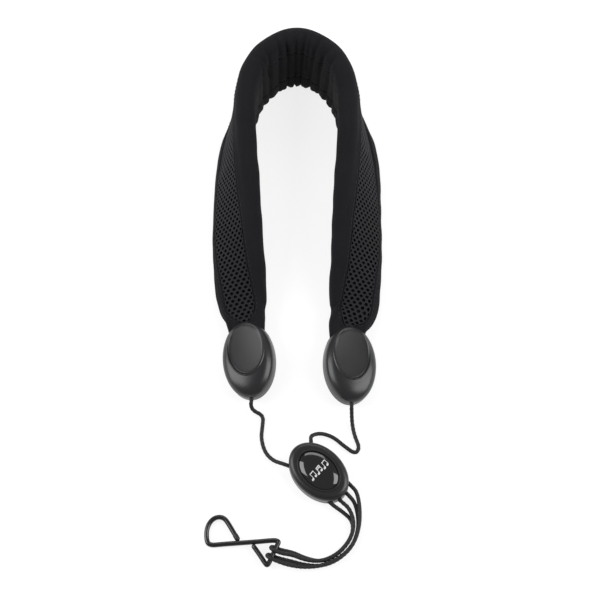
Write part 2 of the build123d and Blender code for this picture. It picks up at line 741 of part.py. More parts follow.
def hook_pieces():
    heel_end, arm_start = pivot_ends()
    body_points = [EYE_END, EYE_CORNER_LOW, EYE_CORNER_HIGH, LOOP_CORNER_HEEL, heel_end]
    body = wire_sweep(body_points, [EYE_BEND, EYE_BEND, HEEL_BEND], WIRE_DIAMETER)
    arm_points = [arm_start, LOOP_CORNER_SIDE, LOOP_CORNER_TOP, ARM_TIP]
    arm = wire_sweep(arm_points, [SIDE_BEND, TOP_BEND], WIRE_DIAMETER)
    last_run = (Vector(*ARM_TIP) - Vector(*LOOP_CORNER_TOP)).normalized()
    tip = HOOK_PLANE.from_local_coords(Vector(*ARM_TIP, 0))
    outward = HOOK_PLANE.from_local_coords(Vector(*ARM_TIP, 0) + last_run) - tip
    end_plane = Plane(origin=tip, z_dir=outward)
    with BuildPart() as cap:
        with BuildSketch(end_plane.offset(TIP_CAP_END)):
            Circle(WIRE_DIAMETER / 2 + TIP_CAP_WALL)
        extrude(amount=-TIP_CAP_LENGTH - TIP_CAP_END)
        with BuildSketch(end_plane):
            Circle(WIRE_DIAMETER / 2)
        extrude(amount=-TIP_CAP_LENGTH, mode=Mode.SUBTRACT)
    save(body, "hook_wire")
    save(arm, "hook_spring_arm")
    save(cap.part, "hook_tip_cap")


# ---------------------------------------------------------------- loops of cord through the eye


def wrap_point(out, along, height):
    """Point by the wrapped wire: out towards the adjuster, along the wire, above its centre."""
    away = Vector(HOOK_AXIS.Y, -HOOK_AXIS.X, 0)
    return tuple(HOOK_CENTRE + away * out + HOOK_AXIS * along + Vector(0, 0, height))


def wrap_place(strand):
    """How far along the wrapped wire a strand lies from the middle of the four."""
    spacing = CORD_DIAMETER + WRAP_GAP
    return (WRAP_ORDER.index(strand) - (len(WRAP_ORDER) - 1) / 2) * spacing


def cord_loop(label, low, high, low_y, high_y):
    """A loop of cord: out under the eye's wire, up inside the eye and back over the wire."""
    around = (WIRE_DIAMETER + CORD_DIAMETER) / 2 + WRAP_CLEARANCE
    low_exit = exit_point(low_y)
    high_exit = exit_point(high_y)
    points = [
        bore_point(*low_exit),
        bore_point(low_exit[0] + EXIT_LEAD, low_y),
        *STRAND_ROUTES[low],
        wrap_point(LOW_WRAP_LEAD, wrap_place(low), -around),
        wrap_point(-around, wrap_place(low), -around),
        wrap_point(-around, wrap_place(high), around),
        wrap_point(HIGH_WRAP_LEAD, wrap_place(high), around),
        *STRAND_ROUTES[high][::-1],
        bore_point(high_exit[0] + EXIT_LEAD, high_y),
        bore_point(*high_exit),
    ]
    cord_tube(label, points)


# ---------------------------------------------------------------- build


def build():
    os.makedirs("parts", exist_ok=True)
    band_layer("pad_foam_core", foam_outline)
    band_layer("pad_mesh_panel", panel_outline)
    band_layer("pad_lining", lining_outline)
    band_layer("pad_upper_edge_band", lambda *size: edge_outline(*size, 1))
    band_layer("pad_lower_edge_band", lambda *size: edge_outline(*size, -1))
    for side in CAPS:
        cap_shell(side, front=True)
        cap_shell(side, front=False)
        end_tab(side)
        cord_knot(side)
        plane = CAPS[side]
        for number, place in enumerate(cap_screw_places(plane), start=1):
            foot = Plane(place, plane.x_dir, plane.z_dir).offset(-CAP_BACK_HEIGHT)
            screw(f"{side}_cap_screw_{number}", foot, CAP_BACK_HEIGHT + CAP_SCREW_REACH)
    slider_back()
    slider_front()
    slider_badge()
    slider_inside()
    for number, foot in enumerate(slider_screw_planes(), start=1):
        screw(f"slider_screw_{number}", foot, SLIDER_SPLIT + SLIDER_SCREW_REACH)
    hook_pieces()
    left_end = [mouth_lead("left", LEFT_MOUTH_LEAD), mouth_lead("left", 0)]
    cord_tube("left_upper_cord", cap_lead("left") + LEFT_CORD_ROUTE + left_end)
    right_end = [mouth_lead("right", RIGHT_MOUTH_LEAD), mouth_lead("right", 0)]
    cord_tube("right_upper_cord", cap_lead("right") + RIGHT_CORD_ROUTE + right_end)
    cord_loop("hook_cord_loop_1", "low_inner", "high_inner", -OUTER_BORE_Y, -INNER_BORE_Y)
    cord_loop("hook_cord_loop_2", "low_outer", "high_outer", INNER_BORE_Y, OUTER_BORE_Y)


build()
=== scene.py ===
# %% [markdown]
# # A saxophone neck strap, one piece at a time
# The strap is a padded band for the neck, two oval end caps, a black braided cord, a sliding
# adjuster and a wire snap hook. Its frame and sizes are fixed and are loaded first. Everything
# below dresses that frame: it makes the cloth, the cord and the finishes that a viewer sees.

# %% Load the frame
import json
import math
import random

import bpy
import numpy as np
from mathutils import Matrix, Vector
from mathutils.bvhtree import BVHTree


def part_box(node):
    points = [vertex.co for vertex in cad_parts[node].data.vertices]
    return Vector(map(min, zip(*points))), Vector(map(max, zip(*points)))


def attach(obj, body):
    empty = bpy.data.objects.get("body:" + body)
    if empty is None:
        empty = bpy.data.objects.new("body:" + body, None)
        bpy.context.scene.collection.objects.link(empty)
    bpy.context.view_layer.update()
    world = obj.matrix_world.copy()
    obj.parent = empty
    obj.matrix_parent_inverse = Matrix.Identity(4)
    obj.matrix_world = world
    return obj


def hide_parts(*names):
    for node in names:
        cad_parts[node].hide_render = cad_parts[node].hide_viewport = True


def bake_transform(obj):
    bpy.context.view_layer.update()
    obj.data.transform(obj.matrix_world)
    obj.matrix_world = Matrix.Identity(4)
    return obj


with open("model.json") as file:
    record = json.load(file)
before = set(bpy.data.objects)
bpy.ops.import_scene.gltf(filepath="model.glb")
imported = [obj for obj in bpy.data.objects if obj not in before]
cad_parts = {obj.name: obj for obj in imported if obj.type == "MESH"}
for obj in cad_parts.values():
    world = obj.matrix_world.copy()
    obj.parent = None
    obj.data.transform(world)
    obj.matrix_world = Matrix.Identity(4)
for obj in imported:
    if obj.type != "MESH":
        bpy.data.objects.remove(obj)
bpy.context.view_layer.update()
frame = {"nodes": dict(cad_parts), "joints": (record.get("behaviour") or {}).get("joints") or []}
MM = 0.001
scene = bpy.context.scene

# %% [markdown]
# ## Small helpers
# A few short functions save repeating ourselves. `add_node` places a node and fills or links its
# inputs in one call, `make_mesh` turns lists of points and faces into an object, and
# `plain_mesh` keeps what the modifiers made as an ordinary mesh, with nothing left to evaluate.


# %% Helpers
def add_node(tree, kind, inputs=None, **settings):
    """Add a node, set its properties, and link or fill the inputs that are given."""
    made = tree.nodes.new(kind)
    for name, value in settings.items():
        setattr(made, name, value)
    for key, value in (inputs or {}).items():
        if isinstance(value, bpy.types.NodeSocket):
            tree.links.new(value, made.inputs[key])
        else:
            made.inputs[key].default_value = value
    return made


def maths(tree, operation, first, second=0.0, third=0.0):
    """One Math node, which works in shader trees and in geometry trees."""
    values = {0: first, 1: second, 2: third}
    return add_node(tree, "ShaderNodeMath", values, operation=operation).outputs[0]


def new_tree(name, kind, inputs, outputs):
    """A node group with named sockets, and its input and output nodes."""
    tree = bpy.data.node_groups.new(name, kind)
    for title, socket, value in inputs:
        made = tree.interface.new_socket(title, in_out="INPUT", socket_type=socket)
        if value is not None:
            made.default_value = value
    for title, socket in outputs:
        tree.interface.new_socket(title, in_out="OUTPUT", socket_type=socket)
    return tree, tree.nodes.new("NodeGroupInput").outputs, tree.nodes.new("NodeGroupOutput")


def add_piece(name, mesh):
    piece = bpy.data.objects.new(name, mesh)
    scene.collection.objects.link(piece)
    return piece


def make_mesh(name, points, faces, smooth=True):
    mesh = bpy.data.meshes.new(name)
    mesh.from_pydata([tuple(point) for point in points], [], faces)
    mesh.polygons.foreach_set("use_smooth", [smooth] * len(mesh.polygons))
    mesh.update()
    return add_piece(name, mesh)


def make_lines(name, lines):
    """An object of edges only, one open chain for each list of points."""
    mesh = bpy.data.meshes.new(name)
    points = [tuple(point) for line in lines for point in line]
    edges = []
    start = 0
    for line in lines:
        edges += [(start + step, start + step + 1) for step in range(len(line) - 1)]
        start += len(line)
    mesh.from_pydata(points, edges, [])
    return add_piece(name, mesh)


def close_tree(tree, given, result, geometry):
    """End a geometry tree: smooth shading, real meshes, the given material."""
    smooth = add_node(tree, "GeometryNodeSetShadeSmooth", {"Geometry": geometry})
    real = add_node(tree, "GeometryNodeRealizeInstances", {"Geometry": smooth.outputs[0]})
    values = {"Geometry": real.outputs[0], "Material": given["Material"]}
    done = add_node(tree, "GeometryNodeSetMaterial", values)
    tree.links.new(done.outputs[0], result.inputs[0])
    return tree


def noise(tree, spot, scale, detail):
    """Value of one Noise texture."""
    values = {"Vector": spot, "Scale": scale, "Detail": detail}
    return add_node(tree, "ShaderNodeTexNoise", values).outputs[0]


def object_place(tree):
    return add_node(tree, "ShaderNodeTexCoord").outputs["Object"]


def grow(piece, tree, sizes):
    """Put a geometry tree on a piece, with the values of its named inputs."""
    modifier = piece.modifiers.new(tree.name, "NODES")
    modifier.node_group = tree
    sockets = {item.name: item for item in tree.interface.items_tree if item.in_out == "INPUT"}
    for name, value in sizes.items():
        modifier[sockets[name].identifier] = value
    return modifier


def plain_mesh(piece):
    """Replace a piece's mesh with what its modifiers make of it, and remove them."""
    graph = bpy.context.evaluated_depsgraph_get()
    mesh = bpy.data.meshes.new_from_object(piece.evaluated_get(graph), depsgraph=graph)
    piece.modifiers.clear()
    piece.data = mesh
    mesh.name = piece.name
    return piece


def subdivide(piece):
    """One level of subdivision, kept as plain mesh."""
    finer = piece.modifiers.new("finer", "SUBSURF")
    finer.levels = finer.render_levels = 1
    return plain_mesh(piece)


def dress(piece, material, body=None, stands_for=()):
    """Give a piece its material and its body, and hide the plain nodes that it stands for."""
    piece.data.materials.clear()
    piece.data.materials.append(material)
    if stands_for:
        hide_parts(*stands_for)
    if body:
        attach(piece, body)
    triangles = sum(len(face.vertices) - 2 for face in piece.data.polygons)
    print(f"{piece.name}: {triangles} triangles")
    return piece


# %% [markdown]
# ## Camera
# The strap lies flat and is looked at from high in front, 70 degrees up, through a long lens so
# that its two legs keep their real proportions. A long lens a metre away does that better than a
# wide one close by.

# %% Camera
AIM = Vector((1.9, -2.0, 0.0)) * MM
CAMERA_DISTANCE = 960 * MM
CAMERA_RISE = math.radians(70)

camera_data = bpy.data.cameras.new("camera")
camera_data.lens = 90
camera_data.sensor_width = 36
camera_data.clip_start = 0.01
camera = bpy.data.objects.new("camera", camera_data)
scene.collection.objects.link(camera)
view = Vector((0, -math.cos(CAMERA_RISE), math.sin(CAMERA_RISE)))
camera.location = AIM + view * CAMERA_DISTANCE
camera.rotation_euler = (math.pi / 2 - CAMERA_RISE, 0, 0)
scene.camera = camera
print("camera at", [round(value, 3) for value in camera.location])

# %% [markdown]
# ## Shared surface effects
# Three effects turn up on more than one piece, so each is a shader node group with named inputs.
# *Knit loops* draws the rows of tiny loops of a stretch cloth along the piece's own UV map;
# its Shade mask paints the loops lighter and their dips darker, as painted shade, over random tone.
# *Moulded skin* gives plastic and lacquer their faint orange peel and handling marks.
# *Lint* scatters the pale fibres and dust that black cloth always collects.


# %% Knit loops group
def knit_loops_group():
    inputs = [("Loops per mm", "NodeSocketFloat", 2.0), ("Nap", "NodeSocketFloat", 0.3)]
    outputs = [("Height", "NodeSocketFloat"), ("Shade", "NodeSocketFloat")]
    tree, given, result = new_tree("Knit loops", "ShaderNodeTree", inputs, outputs)
    place = add_node(tree, "ShaderNodeUVMap", uv_map="UVMap").outputs["UV"]
    split = add_node(tree, "ShaderNodeSeparateXYZ", {"Vector": place})
    turns = maths(tree, "MULTIPLY", given["Loops per mm"], 2000 * math.pi)
    along = maths(tree, "MULTIPLY", split.outputs["X"], turns)
    across = maths(tree, "MULTIPLY", split.outputs["Y"], turns)
    lean = maths(tree, "ABSOLUTE", maths(tree, "SINE", across))
    ribs = maths(tree, "ABSOLUTE", maths(tree, "SINE", maths(tree, "MULTIPLY", across, 0.5)))
    rows = maths(tree, "SINE", maths(tree, "ADD", along, maths(tree, "MULTIPLY", lean, 1.6)))
    loops = maths(tree, "MULTIPLY_ADD", rows, 0.35, maths(tree, "MULTIPLY", ribs, 0.65))
    spot = object_place(tree)
    fuzz = noise(tree, spot, 1400.0, 3.0)
    wear = noise(tree, spot, 45.0, 4.0)
    height = maths(tree, "MULTIPLY_ADD", fuzz, given["Nap"], loops)
    tree.links.new(height, result.inputs["Height"])
    # Shade: painted shade, the loops lighter and their dips darker, plus random tone from the wear and fuzz
    # noise.
    shade = maths(tree, "MULTIPLY_ADD", wear, 0.5, maths(tree, "MULTIPLY", loops, 0.35))
    shade = maths(tree, "MULTIPLY_ADD", fuzz, 0.5, shade)
    tree.links.new(shade, result.inputs["Shade"])
    return tree


# %% Moulded skin group
def moulded_skin_group():
    inputs = [
        ("Grain size", "NodeSocketFloat", 900.0),
        ("Roughness", "NodeSocketFloat", 0.4),
        ("Spread", "NodeSocketFloat", 0.1),
    ]
    outputs = [("Height", "NodeSocketFloat"), ("Roughness", "NodeSocketFloat"), ("Marks", "NodeSocketFloat")]
    tree, given, result = new_tree("Moulded skin", "ShaderNodeTree", inputs, outputs)
    spot = object_place(tree)
    tree.links.new(noise(tree, spot, given["Grain size"], 3.0), result.inputs["Height"])
    centred = maths(tree, "SUBTRACT", noise(tree, spot, 70.0, 5.0), 0.5)
    rough = maths(tree, "MULTIPLY_ADD", centred, given["Spread"], given["Roughness"])
    tree.links.new(rough, result.inputs["Roughness"])
    streaks = add_node(tree, "ShaderNodeMapping", {"Vector": spot, "Scale": (1.0, 0.12, 1.0)})
    fine = noise(tree, streaks.outputs[0], 900.0, 2.0)
    marks = maths(tree, "SMOOTH_MAX", maths(tree, "SUBTRACT", fine, 0.62), 0.0, 0.05)
    tree.links.new(marks, result.inputs["Marks"])
    return tree


# %% Lint group
def lint_group():
    inputs = [("Amount", "NodeSocketFloat", 0.5)]
    tree, given, result = new_tree("Lint", "ShaderNodeTree", inputs, [("Mask", "NodeSocketFloat")])
    spot = object_place(tree)
    specks = add_node(tree, "ShaderNodeTexVoronoi", {"Vector": spot, "Scale": 420.0, "Randomness": 1.0})
    small = maths(tree, "LESS_THAN", specks.outputs["Distance"], 0.09)
    patchy = maths(tree, "GREATER_THAN", noise(tree, spot, 160.0, 2.0), 0.56)
    mask = maths(tree, "MULTIPLY", maths(tree, "MULTIPLY", small, patchy), given["Amount"])
    tree.links.new(mask, result.inputs["Mask"])
    return tree


KNIT_LOOPS = knit_loops_group()
MOULDED_SKIN = moulded_skin_group()
LINT = lint_group()
print("groups:", [group.name for group in (KNIT_LOOPS, MOULDED_SKIN, LINT)])

# %% [markdown]
# ## Cloth and plastic finishes
# Black things are told apart by how they shine. The stretch cloth on the band's edges has a
# short nap, so it gets a little sheen and no gloss. The mesh is a dry thread, the lining a
# darker, smoother one. Each cloth mixes two near-blacks by the knit's own height, its loops
# lighter and their dips darker as painted shade, and by random tone; the lint lies on top of that.


# %% Cloth finish
def start_material(name, **values):
    """A material with one Principled shader, whose plain values are set on its own sockets."""
    material = bpy.data.materials.new(name)
    material.use_nodes = True
    shader = material.node_tree.nodes["Principled BSDF"]
    for socket, value in values.items():
        shader.inputs[socket.replace("_", " ")].default_value = value
    return material, material.node_tree, shader


def blend_colours(tree, mask, dark, light):
    mixed = add_node(tree, "ShaderNodeMix", {"Factor": mask}, data_type="RGBA")
    for socket, colour in ((mixed.inputs[6], dark), (mixed.inputs[7], light)):
        if isinstance(colour, bpy.types.NodeSocket):
            tree.links.new(colour, socket)
        else:
            socket.default_value = (*colour, 1)
    return mixed.outputs[2]


def bump(tree, shader, height, distance):
    """Let a height move the shader's normal."""
    values = {"Height": height, "Distance": distance, "Strength": 1.0}
    made = add_node(tree, "ShaderNodeBump", values)
    tree.links.new(made.outputs[0], shader.inputs["Normal"])


def cloth_finish(name, dark, light, loops, nap, relief, sheen, lint):
    material, tree, shader = start_material(
        name, Roughness=0.92, Specular_IOR_Level=0.15, Sheen_Weight=sheen, Sheen_Roughness=0.5
    )
    knit = add_node(tree, "ShaderNodeGroup", node_tree=KNIT_LOOPS)
    knit.inputs["Loops per mm"].default_value = loops
    knit.inputs["Nap"].default_value = nap
    fibres = add_node(tree, "ShaderNodeGroup", node_tree=LINT)
    fibres.inputs["Amount"].default_value = lint
    # The knit's Shade mask mixes the two near-blacks: painted shade in the knit's dips, with random tone.
    cloth = blend_colours(tree, knit.outputs["Shade"], dark, light)
    colour = blend_colours(tree, fibres.outputs["Mask"], cloth, (0.10, 0.10, 0.105))
    tree.links.new(colour, shader.inputs["Base Color"])
    bump(tree, shader, knit.outputs["Height"], relief)
    return material


EDGE_CLOTH = cloth_finish(
    "edge_cloth", (0.0042, 0.0042, 0.0052), (0.0125, 0.0125, 0.0152), 1.6, 0.5, 0.09 * MM, 0.022, 0.35
)
LINING_CLOTH = cloth_finish(
    "lining_cloth", (0.0036, 0.0036, 0.0042), (0.0120, 0.0120, 0.0142), 2.2, 0.3, 0.06 * MM, 0.03, 0.2
)
PADDING_CLOTH = cloth_finish(
    "padding_cloth", (0.003, 0.003, 0.0035), (0.009, 0.009, 0.010), 1.4, 0.4, 0.10 * MM, 0.02, 0.1
)
TAB_WEBBING = cloth_finish(
    "tab_webbing", (0.006, 0.006, 0.006), (0.016, 0.016, 0.016), 0.8, 0.3, 0.15 * MM, 0.03, 0.1
)


# %% Thread finish
def thread_finish(name, dark, light, scale, roughness, sheen):
    """Dull thread for the mesh and the stitches: fine fibres and patches, on object coordinates."""
    material, tree, shader = start_material(
        name, Roughness=roughness, Specular_IOR_Level=0.25, Sheen_Weight=sheen, Sheen_Roughness=0.5
    )
    spot = object_place(tree)
    fibre = noise(tree, spot, scale, 4.0)
    patch = noise(tree, spot, 60.0, 3.0)
    mask = maths(tree, "MULTIPLY_ADD", patch, 0.6, maths(tree, "MULTIPLY", fibre, 0.45))
    tree.links.new(blend_colours(tree, mask, dark, light), shader.inputs["Base Color"])
    bump(tree, shader, fibre, 0.08 * MM)
    return material


NET_THREAD = thread_finish(
    "net_thread", (0.0060, 0.0060, 0.0074), (0.0165, 0.0165, 0.0200), 1800.0, 0.8, 0.02
)
STITCH_THREAD = thread_finish(
    "stitch_thread", (0.006, 0.006, 0.007), (0.017, 0.017, 0.020), 2600.0, 0.6, 0.01
)


# %% Plastic and lacquer finish
def hard_finish(name, colour, roughness, spread, grain, relief, coat=0.0, metallic=0.0):
    """Moulded plastic, resin, lacquer or plain metal, with its skin and its handling marks."""
    material, tree, shader = start_material(
        name, Coat_Weight=coat, Coat_Roughness=0.04, Metallic=metallic, Specular_IOR_Level=0.5
    )
    skin = add_node(tree, "ShaderNodeGroup", node_tree=MOULDED_SKIN)
    skin.inputs["Grain size"].default_value = grain
    skin.inputs["Roughness"].default_value = roughness
    skin.inputs["Spread"].default_value = spread
    light = tuple(min(1.0, channel * 1.9 + 0.004) for channel in colour)
    tree.links.new(blend_colours(tree, skin.outputs["Marks"], colour, light), shader.inputs["Base Color"])
    tree.links.new(skin.outputs["Roughness"], shader.inputs["Roughness"])
    bump(tree, shader, skin.outputs["Height"], relief)
    return material


CAP_PLASTIC = hard_finish("cap_plastic", (0.0125, 0.0128, 0.0142), 0.30, 0.12, 1600.0, 0.012 * MM)
ADJUSTER_PLASTIC = hard_finish("adjuster_plastic", (0.0085, 0.0085, 0.0095), 0.34, 0.12, 1600.0, 0.012 * MM)
BADGE_RESIN = hard_finish("badge_resin", (0.0035, 0.0035, 0.0038), 0.10, 0.05, 300.0, 0.002 * MM, coat=0.6)
HOOK_LACQUER = hard_finish("hook_lacquer", (0.0045, 0.0045, 0.0049), 0.24, 0.14, 1200.0, 0.01 * MM, coat=0.2)
TIP_PLASTIC = hard_finish("tip_plastic", (0.008, 0.008, 0.008), 0.45, 0.1, 1500.0, 0.012 * MM)
SCREW_STEEL = hard_finish("screw_steel", (0.42, 0.42, 0.43), 0.32, 0.15, 2500.0, 0.006 * MM, metallic=1.0)
PRINT_INK = hard_finish("print_ink", (0.62, 0.62, 0.63), 0.55, 0.1, 1800.0, 0.004 * MM)
print("finishes:", len(bpy.data.materials))

# %% [markdown]
# ## Braided cord
# The cord is a round braid, 2.5 mm thick, in four lengths: one from each end cap to the adjuster,
# and two loops that go from the adjuster down, round the wire of the hook's eye, and back. A cord
# lies in easy curves, so each length follows one smooth NURBS curve whose control points are the
# cord's route.
#
# A Geometry Nodes tree then makes the cord itself. It sweeps a circle along the route, and lifts
# the surface by the product of two waves, one round the cord and one along it. That product is
# the staggered pattern of bumps that a round braid has, and because it is real relief the cord
# looks braided from any side. The same wave is kept as an attribute for the material, which
# paints the crowns lighter as a painted highlight and the gaps darker as painted shade.

# %% Routes, from the piece that each cord leaves to the piece that it enters
CORD_DIAMETER = 2.5 * MM
UPPER_ROUTES = {
    "left": [
        (-0.02894, -0.05805, 0.00962), (-0.02781, -0.07080, 0.00962), (-0.0287, -0.0739, 0.0078),
        (-0.0272, -0.0764, 0.0034), (-0.0208, -0.0790, 0.00135), (-0.0214, -0.0862, 0.00135),
        (-0.0222, -0.0935, 0.00135), (-0.0198, -0.1024, 0.00135), (-0.0146, -0.1080, 0.0024),
        (-0.00877, -0.1104, 0.005), (-0.00501, -0.11179, 0.005),
    ],
    "right": [
        (0.03346, -0.06120, 0.00962), (0.03382, -0.07399, 0.00962), (0.0338, -0.0770, 0.0070),
        (0.0342, -0.0848, 0.0018), (0.0358, -0.0924, 0.00135), (0.0387, -0.0994, 0.00135),
        (0.0360, -0.1036, 0.00135), (0.0288, -0.0982, 0.00135), (0.0226, -0.0928, 0.0015),
        (0.0150, -0.0904, 0.0024), (0.0092, -0.0922, 0.0042), (0.00834, -0.09469, 0.005),
        (0.00885, -0.09764, 0.005),
    ],
}
STRANDS = {
    "low_inner": [
        (0.0278, -0.1396, 0.0019), (0.0338, -0.1450, 0.00135), (0.0339, -0.1526, 0.00135),
        (0.0296, -0.1604, 0.00135), (0.0228, -0.1666, 0.00135), (0.0144, -0.1699, 0.00135),
        (0.0052, -0.1678, 0.00135), (-0.0024, -0.1642, 0.00135),
    ],
    "high_inner": [
        (0.0316, -0.1378, 0.0044), (0.0344, -0.1448, 0.00405), (0.0339, -0.1528, 0.00405),
        (0.0296, -0.1606, 0.00405), (0.0228, -0.1668, 0.00405), (0.0144, -0.1701, 0.00405),
        (0.0054, -0.1695, 0.0046), (-0.0026, -0.1666, 0.0063),
    ],
    "low_outer": [
        (0.0352, -0.1338, 0.0022), (0.0372, -0.1418, 0.00135), (0.0372, -0.1508, 0.00135),
        (0.0334, -0.1608, 0.00135), (0.0251, -0.1686, 0.00135), (0.0150, -0.1726, 0.00135),
        (0.0050, -0.1719, 0.00135), (-0.0034, -0.1696, 0.00135),
    ],
    "high_outer": [
        (0.0366, -0.1280, 0.0044), (0.0383, -0.1376, 0.00405), (0.0378, -0.1496, 0.00405),
        (0.0337, -0.1608, 0.00405), (0.0252, -0.1686, 0.00405), (0.0150, -0.1728, 0.00405),
        (0.0046, -0.1738, 0.0046), (-0.0046, -0.1728, 0.0062),
    ],
}

# %% [markdown]
# The loops start and end at the adjuster's mouths and wrap the wire of the hook's eye. Both places
# come from the frame: the adjuster's axis is its slide joint's axis, and the wrapped wire is the
# axis that the hook swings on.

# %% Places of the adjuster and of the hook's eye
joints = {joint["name"]: joint for joint in frame["joints"]}
SLIDE = Vector(joints["slider_slide"]["axis"]).normalized()
SIDEWAYS = Vector((0, 0, 1)).cross(SLIDE)
EYE = Vector(joints["hook_swing"]["pos_m"])
EYE_AXIS = Vector(joints["hook_swing"]["axis"]).normalized()
EYE_AWAY = Vector((EYE_AXIS.y, -EYE_AXIS.x, 0))
back_low, back_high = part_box("slider_back")
SLIDER_MIDDLE = (back_low + back_high) / 2
BORE_HEIGHT = back_high.z
ADJUSTER_LENGTH, ADJUSTER_WIDTH = 42.2 * MM, 30.0 * MM
EXIT_LEAD = 2.4 * MM
EXIT_PROUD = 0.33 * MM
WRAP_RADIUS = 2.8 * MM
WRAP_PLACES = {
    "low_inner": 3.9 * MM, "high_inner": 1.3 * MM, "low_outer": -1.3 * MM, "high_outer": -3.9 * MM,
}


def on_adjuster(along, sideways, height):
    """Point at a distance along the adjuster and to its side, at a height above the ground."""
    spot = SLIDER_MIDDLE + SLIDE * along + SIDEWAYS * sideways
    return Vector((spot.x, spot.y, height))


def mouth(sideways, lead=0.0):
    """Where a strand leaves the adjuster's oval rim."""
    share = math.sqrt(1 - (2 * sideways / ADJUSTER_WIDTH) ** 2)
    return on_adjuster(ADJUSTER_LENGTH / 2 * share + EXIT_PROUD + lead, sideways, BORE_HEIGHT)


def by_wire(out, along, height):
    """Point beside the wrapped wire: out from it, along it and above its centre."""
    return EYE + EYE_AWAY * out + EYE_AXIS * along + Vector((0, 0, height))


def loop_route(low, high, low_side, high_side):
    low_place, high_place = WRAP_PLACES[low], WRAP_PLACES[high]
    return [
        mouth(low_side),
        mouth(low_side, EXIT_LEAD),
        *STRANDS[low],
        by_wire(2.6 * MM, low_place, -WRAP_RADIUS),
        by_wire(-WRAP_RADIUS, low_place, -WRAP_RADIUS),
        by_wire(-WRAP_RADIUS, high_place, WRAP_RADIUS),
        by_wire(4.2 * MM, high_place, WRAP_RADIUS),
        *STRANDS[high][::-1],
        mouth(high_side, EXIT_LEAD),
        mouth(high_side),
    ]


LOOP_ROUTES = {
    "hook_cord_loop_1": loop_route("low_inner", "high_inner", -8.2 * MM, -2.9 * MM),
    "hook_cord_loop_2": loop_route("low_outer", "high_outer", 2.9 * MM, 8.2 * MM),
}
print("adjuster's mouths at", [[round(value, 4) for value in mouth(side * MM)] for side in (-8.2, 8.2)])


# %% A smooth line along a route
def smooth_line(route):
    """Points read from one NURBS curve that has the route as its control points."""
    data = bpy.data.curves.new("route", "CURVE")
    data.dimensions = "3D"
    spline = data.splines.new("NURBS")
    spline.points.add(len(route) - 1)
    for control, place in zip(spline.points, route):
        control.co = (*place, 1)
    spline.order_u = 3
    spline.use_endpoint_u = True
    spline.resolution_u = 16
    carrier = bpy.data.objects.new("route", data)
    scene.collection.objects.link(carrier)
    mesh = bpy.data.meshes.new_from_object(carrier)
    line = [vertex.co.copy() for vertex in mesh.vertices]
    bpy.data.objects.remove(carrier)
    bpy.data.meshes.remove(mesh)
    bpy.data.curves.remove(data)
    return line


def line_length(line):
    return sum((after - before).length for before, after in zip(line, line[1:]))


# %% Braid tree
def braid_tree():
    inputs = [
        ("Route", "NodeSocketGeometry", None),
        ("Radius", "NodeSocketFloat", CORD_DIAMETER / 2),
        ("Sides", "NodeSocketInt", 24),
        ("Step", "NodeSocketFloat", 0.3 * MM),
        ("Bumps Around", "NodeSocketFloat", 6.0),
        ("Bump Length", "NodeSocketFloat", 2.6 * MM),
        ("Relief", "NodeSocketFloat", 0.22 * MM),
        ("Material", "NodeSocketMaterial", None),
    ]
    tree, given, result = new_tree("Braid", "GeometryNodeTree", inputs, [("Cord", "NodeSocketGeometry")])
    rail = add_node(tree, "GeometryNodeMeshToCurve", {"Mesh": given["Route"]})
    rail = add_node(
        tree, "GeometryNodeResampleCurve", {"Curve": rail.outputs[0], "Length": given["Step"]}, mode="LENGTH"
    )
    lengths = add_node(tree, "GeometryNodeSplineParameter")
    along = add_node(tree, "GeometryNodeCaptureAttribute", {"Geometry": rail.outputs[0]}, domain="POINT")
    along.capture_items.new("FLOAT", "Along")
    tree.links.new(lengths.outputs["Length"], along.inputs["Along"])
    ring = add_node(
        tree, "GeometryNodeCurvePrimitiveCircle", {"Resolution": given["Sides"], "Radius": given["Radius"]}
    )
    around = add_node(
        tree, "GeometryNodeCaptureAttribute", {"Geometry": ring.outputs["Curve"]}, domain="POINT"
    )
    around.capture_items.new("FLOAT", "Around")
    tree.links.new(lengths.outputs["Factor"], around.inputs["Around"])
    tube = add_node(
        tree,
        "GeometryNodeCurveToMesh",
        {"Curve": along.outputs[0], "Profile Curve": around.outputs[0], "Fill Caps": True},
    )
    turn = maths(tree, "MULTIPLY", around.outputs["Around"], 2 * math.pi)
    round_wave = maths(tree, "COSINE", maths(tree, "MULTIPLY", turn, given["Bumps Around"]))
    travel = maths(tree, "DIVIDE", along.outputs["Along"], given["Bump Length"])
    long_wave = maths(tree, "COSINE", maths(tree, "MULTIPLY", travel, 2 * math.pi))
    height = maths(tree, "MULTIPLY_ADD", maths(tree, "MULTIPLY", round_wave, long_wave), 0.5, 0.5)
    kept = add_node(
        tree,
        "GeometryNodeStoreNamedAttribute",
        {"Geometry": tube.outputs[0], "Name": "braid", "Value": height},
        data_type="FLOAT",
        domain="POINT",
    )
    lift = maths(tree, "MULTIPLY", maths(tree, "SUBTRACT", height, 0.75), given["Relief"])
    normal = add_node(tree, "GeometryNodeInputNormal")
    offset = add_node(tree, "ShaderNodeVectorMath", {0: normal.outputs[0], "Scale": lift}, operation="SCALE")
    lifted = add_node(
        tree, "GeometryNodeSetPosition", {"Geometry": kept.outputs[0], "Offset": offset.outputs[0]}
    )
    return close_tree(tree, given, result, lifted.outputs[0])


BRAID = braid_tree()


